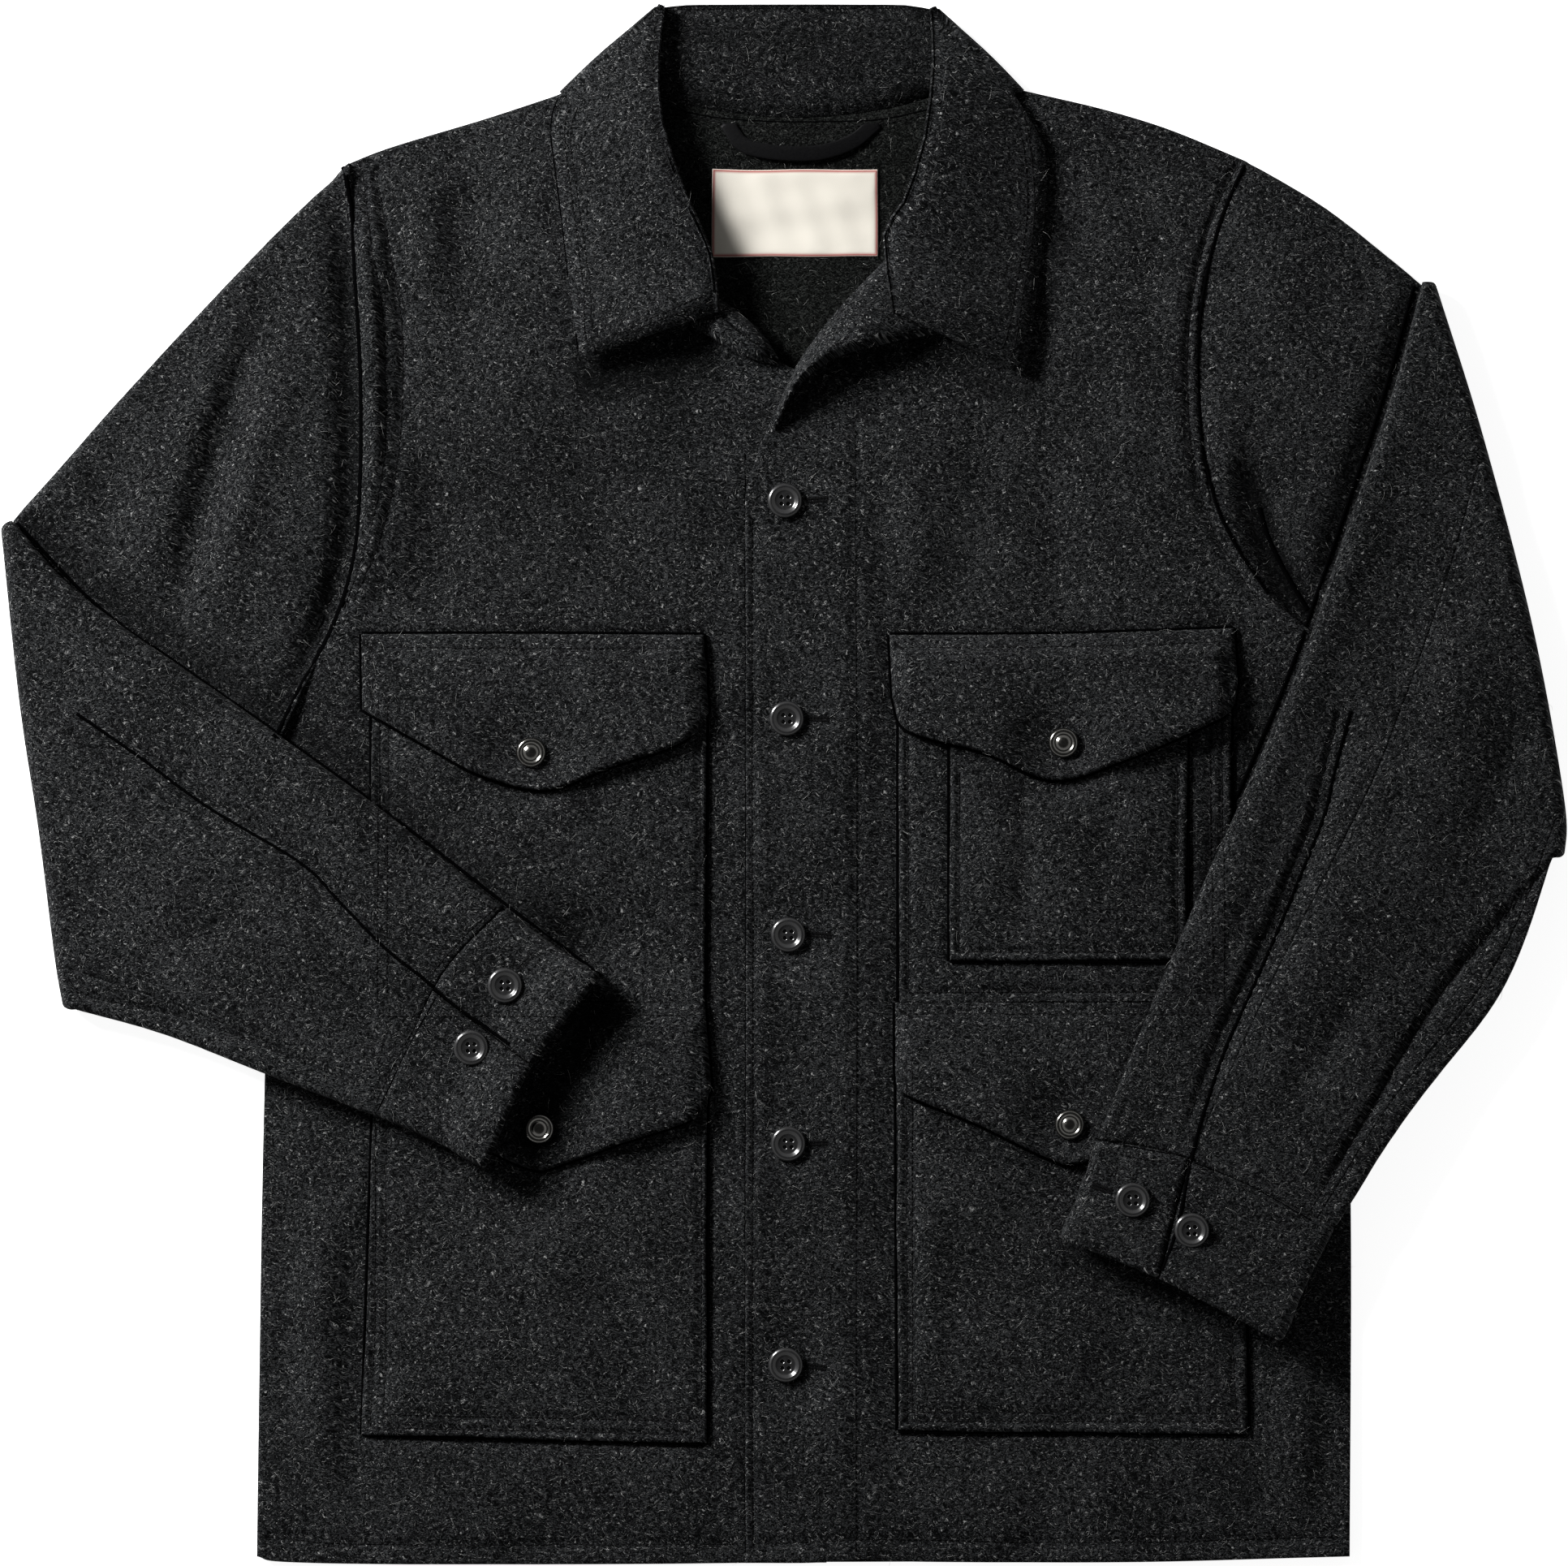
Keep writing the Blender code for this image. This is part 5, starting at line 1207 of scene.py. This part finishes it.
sewing = {"pitch": 3.1, "length": 2.5, "radius": 0.33, "tackPitch": 0.55, "tackLength": 1.7, "tackRadius": 0.2}
buttonholes = [(994, 617, 1021, 615), (993, 885, 1022, 886), (995, 1150, 1025, 1153), (994, 1408, 1020, 1407),
    (991, 1681, 1018, 1684), (640, 1193, 659, 1173), (1343, 1457, 1368, 1465), (604, 1274, 612, 1262),
    (1487, 1519, 1500, 1524)]
barTacks = [(306, 1010, 317, 999), (1538, 1141, 1555, 1156), (1107, 1243, 1124, 1254), (458, 1640, 472, 1640),
    (447, 792, 459, 800), (867, 792, 867, 803), (1101, 792, 1113, 801), (1509, 786, 1521, 792),
    (1106, 1752, 1120, 1741), (1520, 1750, 1528, 1741)]
seamRows = [*frontRows, *(row for group in (pocketRows, flapRows) for rows in group.values() for row in rows),
            *collar["rows"], *sleeves["left"]["rows"], *sleeves["right"]["rows"]]
stitches("sewnRows", [rowSpots(row) for row in seamRows], sewing["length"], sewing["radius"], 0.2, 1)
barPlaces = [barSpots(ends, side) for ends in buttonholes for side in (-0.8, 0.8)]
barPlaces += [barSpots(ends) for ends in barTacks]
stitches("sewnHoles", barPlaces, sewing["tackLength"], sewing["tackRadius"], 0.0, 2)
print("stage: sewing made")


# Painted shadow: near-black tubes along the edges turned under and sewn down, and along seams and folds, standing in
# for the thin shade there

shadowLines = {"rings": 190, "radius": 0.85, "out": 0.75, "above": 0.15,
    "draped": {
        "foldedSeams": (1.0, 0.05,
            (1536, 199, 1517, 239, 1499, 288, 1486, 342, 1478, 400, 1476, 454, 1479, 530, 1488, 583, 1504, 637, 1531,
                686, 1562, 731),
            (97, 879, 172, 931, 258, 994, 373, 1063, 424, 1114, 476, 1166, 524, 1204),
            (1662, 876, 1641, 953, 1630, 1003, 1599, 1080, 1570, 1151, 1532, 1236, 1507, 1292, 1478, 1377, 1461, 1448,
                1447, 1511, 1429, 1561),
            (524, 1204, 559, 1234, 592, 1257, 630, 1284),
            (22, 644, 119, 745, 232, 826, 348, 907, 490, 1010, 625, 1114, 742, 1202),
            (1742, 352, 1703, 492, 1637, 690, 1587, 832, 1520, 990)),
        "foldedBands": (1.7, 0.9,
            (424, 206, 433, 260, 439, 338, 446, 463, 446, 589, 438, 686, 412, 770, 371, 845, 340, 908),
            (1552, 625, 1563, 662, 1584, 705, 1612, 752)),
        "foldedFineSeams": (0.5, 0.25, (688, 118, 679, 159, 690, 254, 703, 363, 715, 445),
            (622, 1116, 580, 1158, 541, 1204), (541, 1224, 505, 1290, 468, 1366),
            (1349, 1401, 1400, 1412, 1458, 1422), (1458, 1426, 1530, 1455, 1612, 1500),
            (918, 560, 919, 900, 919, 1300, 918, 1700, 919, 1912),
            (826, 133, 860, 141, 894, 146, 966, 150, 1075, 148, 1130, 138, 1157, 131))}}


def makeShadowLines(name, spots, radius):
    # painted shadow lines: near-black tubes of five sides along lines of points
    way = unit(np.gradient(spots, axis=1))
    across = unit(np.cross(way, [0.0, 0.0, 1.0]))
    rods(name, spots, across, np.cross(across, way), radius, 5, "foldShade")


def shadowLinesOnTop(paths, sink):
    # smooth paths draped on whatever cloth is on top, sunk below the lowest of three neighbours
    lines = np.array([along(place(path), shadowLines["rings"]) for path in paths])
    found = topCloth(lines.reshape(-1, 2)).reshape(*lines.shape[:2], 6)
    spots = found[~np.isnan(found[..., 2]).any(axis=1), :, :3]
    height = spots[..., 2]
    spots[:, 1:-1, 2] = np.min([height[:, 2:], height[:, 1:-1], height[:, :-2]], axis=0) - sink
    return spots


def outside(line):
    # a closed outline moved out sideways
    line = resample(line, shares(400))
    way = np.gradient(line, axis=0)
    side = way[:, ::-1] * (1, -1) / np.maximum(np.linalg.norm(way, axis=1), 1e-6)[:, None]
    area = np.sum(line[:-1, 0] * line[1:, 1] - line[1:, 0] * line[:-1, 1])
    return line + side * np.sign(area) * shadowLines["out"]


edgeLines = []
for names, heightOf in ((pockets, pocketLow), (flaps, flapLow)):
    outlines = pressed(names) if names is pockets else pressed((), names)
    for name, line in zip(names, map(outside, outlines)):
        edgeLines.append(resample(lifted(line, heightOf(name, line) + shadowLines["above"]), shares(shadowLines["rings"])))
makeShadowLines("shadowLineEdges", np.array(edgeLines), shadowLines["radius"])
for name, (radius, sink, *paths) in shadowLines["draped"].items():
    makeShadowLines(name, shadowLinesOnTop(paths, sink), radius)
print("stage: folded edges made")


# Stray fibres standing off the wool, thin and curled

fuzz = {"count": 7000, "length": (2.0, 8.5), "radius": (0.035, 0.075), "lift": (0.2, 1.1), "curl": 0.55, "seed": 5}


def makeFuzz():
    # a hair runs from its root along s with a side bend of curl * s^2 and a lift of height * sin(pi s)
    rng = np.random.default_rng(fuzz["seed"])
    low, high = (np.array(corner) * 1000 - shift for corner in cadBox)
    found = topCloth(rng.uniform(low[:2], high[:2], (fuzz["count"], 2)))
    found = found[~np.isnan(found[:, 0])]
    count, base, facing = len(found), found[:, None, :3], found[:, 3:]
    print("fibres kept:", count, "of", fuzz["count"])
    angle = rng.uniform(0, 2 * math.pi, count)
    way, side = alongCloth(facing, np.stack([np.cos(angle), np.sin(angle)], axis=1))
    length = rng.uniform(*fuzz["length"], count) * rng.uniform(0.3, 1, count)
    curl = rng.uniform(-fuzz["curl"], fuzz["curl"], count) * length
    lift = rng.uniform(*fuzz["lift"], count)
    s = shares(5)
    lines = base + sum(way[:, None] * run[..., None] for way, run in (
        (way, length[:, None] * s), (side, curl[:, None] * s ** 2),
        (facing, lift[:, None] * np.sin(math.pi * s * 0.8) + 0.05)))
    thick = rng.uniform(*fuzz["radius"], count)[:, None] * (1 - 0.6 * s)
    rods("strayFibres", lines, side[:, None], facing[:, None], thick, 3, "hair")


makeFuzz()
print("stage: stray fibres made")


# Cut sizes of the cloth: flat width and length in metres, what it lies on, and the area where it isn't a rectangle

flatCuts = {"Back": ((0.566, 0.764), ["floor"]), "FrontRight": ((0.3, 0.764), ["back"]),
    "FrontLeft": ((0.313, 0.764), ["back"]), "NeckRollLeft": ((0.125, 0.034), ["front_left"], 0.0026),
    "NeckRollRight": ((0.062, 0.022), ["front_right"], 0.0012),
    "Pocket_chest_right": ((0.172, 0.174), ["front_right"]), "Pocket_chest_left": ((0.172, 0.175), ["front_left"]),
    "Pocket_lower_right": ((0.178, 0.209), ["front_right"]), "Pocket_lower_left": ((0.18, 0.206), ["front_left"]),
    "Pocket_small": ((0.122, 0.132), ["pocket_chest_left"]),
    "Flap_chest_right": ((0.18, 0.08), ["pocket_chest_right"]), "Flap_chest_left": ((0.178, 0.076), ["pocket_small"]),
    "Flap_lower_right": ((0.178, 0.084), ["pocket_lower_right"]),
    "Flap_lower_left": ((0.18, 0.081), ["pocket_lower_left"]),
    "Collar": ((0.56, 0.12), ["front_left", "front_right"]), "SleeveTop_left": ((0.25, 0.59), ["front_left"]),
    "SleeveTop_right": ((0.25, 0.59), ["front_right"]), "SleeveUnder_left": ((0.11, 0.64), ["front_left"]),
    "SleeveUnder_right": ((0.1, 0.64), ["front_right"]), "Cuff_left": ((0.26, 0.06), ["front_left"]),
    "Cuff_right": ((0.25, 0.06), ["front_right"]), "Label": ((0.086, 0.045), ["back"]),
    "Loop": ((0.098, 0.01), ["back"])}
for name, (flat, under, *area) in flatCuts.items():
    piece, area = bpy.data.objects["cloth" + name], area[0] if area else None


# Table, light and camera

studio = {"lens": 150.0, "sensor": 36.0, "keySpot": (-1.85, 1.3, 1.22), "keySize": 0.72, "keyPower": 142.0,
          "zenith": 0.03, "wall": 0.36, "tableColour": (0.80, 0.80, 0.80, 1), "tableGlow": 0.88, "table": 3,
          "tableTop": -0.0006, "clothTop": 0.007}


def shown(name, data):
    # an object that shows the data
    made = bpy.data.objects.new(name, data)
    bpy.context.scene.collection.objects.link(made)
    return made


def makeTable():
    # a flat square under the jacket
    mesh, reach, level = bpy.data.meshes.new("floor"), studio["table"], studio["tableTop"]
    mesh.from_pydata([(x * reach, y * reach, level) for x, y in ((-1, -1), (1, -1), (1, 1), (-1, 1))], [], [range(4)])
    c, shader = newMaterial("tablePaper")
    c.feed(shader, in_Base_Color=studio["tableColour"], in_Roughness=0.9, in_Specular_IOR_Level=0.1,
           in_Emission_Color=(1, 1, 1, 1), in_Emission_Strength=studio["tableGlow"])
    mesh.materials.append(finishes["tablePaper"])
    shown("floor", mesh)


def makeKey():
    # a square light aimed at the middle of the jacket
    data = bpy.data.lights.new("key", "AREA")
    data.size, data.energy = studio["keySize"], studio["keyPower"]
    made = shown("key", data)
    made.location = studio["keySpot"]
    made.rotation_euler = (-Vector(studio["keySpot"])).to_track_quat("-Z", "Y").to_euler()


def makeWorld():
    # walls that glow from just above the horizon up to a darker ceiling
    world = bpy.data.worlds.new("studio")
    world.use_nodes = True
    c, shader = Chain(world.node_tree), world.node_tree.nodes["Background"]
    height = c.add("SeparateXYZ", in_Vector=c.add("TexCoord").outputs["Generated"]).outputs[2]
    walls = c.math("MULTIPLY", c.range(height, 0.02, 0.22),
                   c.range(height, 0.5, 0.75, studio["wall"], studio["zenith"]))
    c.feed(shader, in_Strength=walls, in_Color=(1, 1, 1, 1))
    bpy.context.scene.world = world
    bpy.context.scene.view_settings.view_transform = "Standard"


def makeCamera():
    # straight above, its width at the cloth's height equal to the picture's width on the table
    data = bpy.data.cameras.new("above")
    data.type, data.sensor_fit, data.clip_end = "PERSP", "HORIZONTAL", 20.0
    data.lens, data.sensor_width = studio["lens"], studio["sensor"]
    distance = picture["width"] * picture["dot"] * 0.001 * studio["lens"] / studio["sensor"]
    made = shown("above", data)
    made.location = (shift[0] * 0.001, shift[1] * 0.001, distance + studio["clothTop"])
    bpy.context.scene.camera = made


makeTable()
makeKey()
makeWorld()
makeCamera()
print("stage: table, light and camera made")
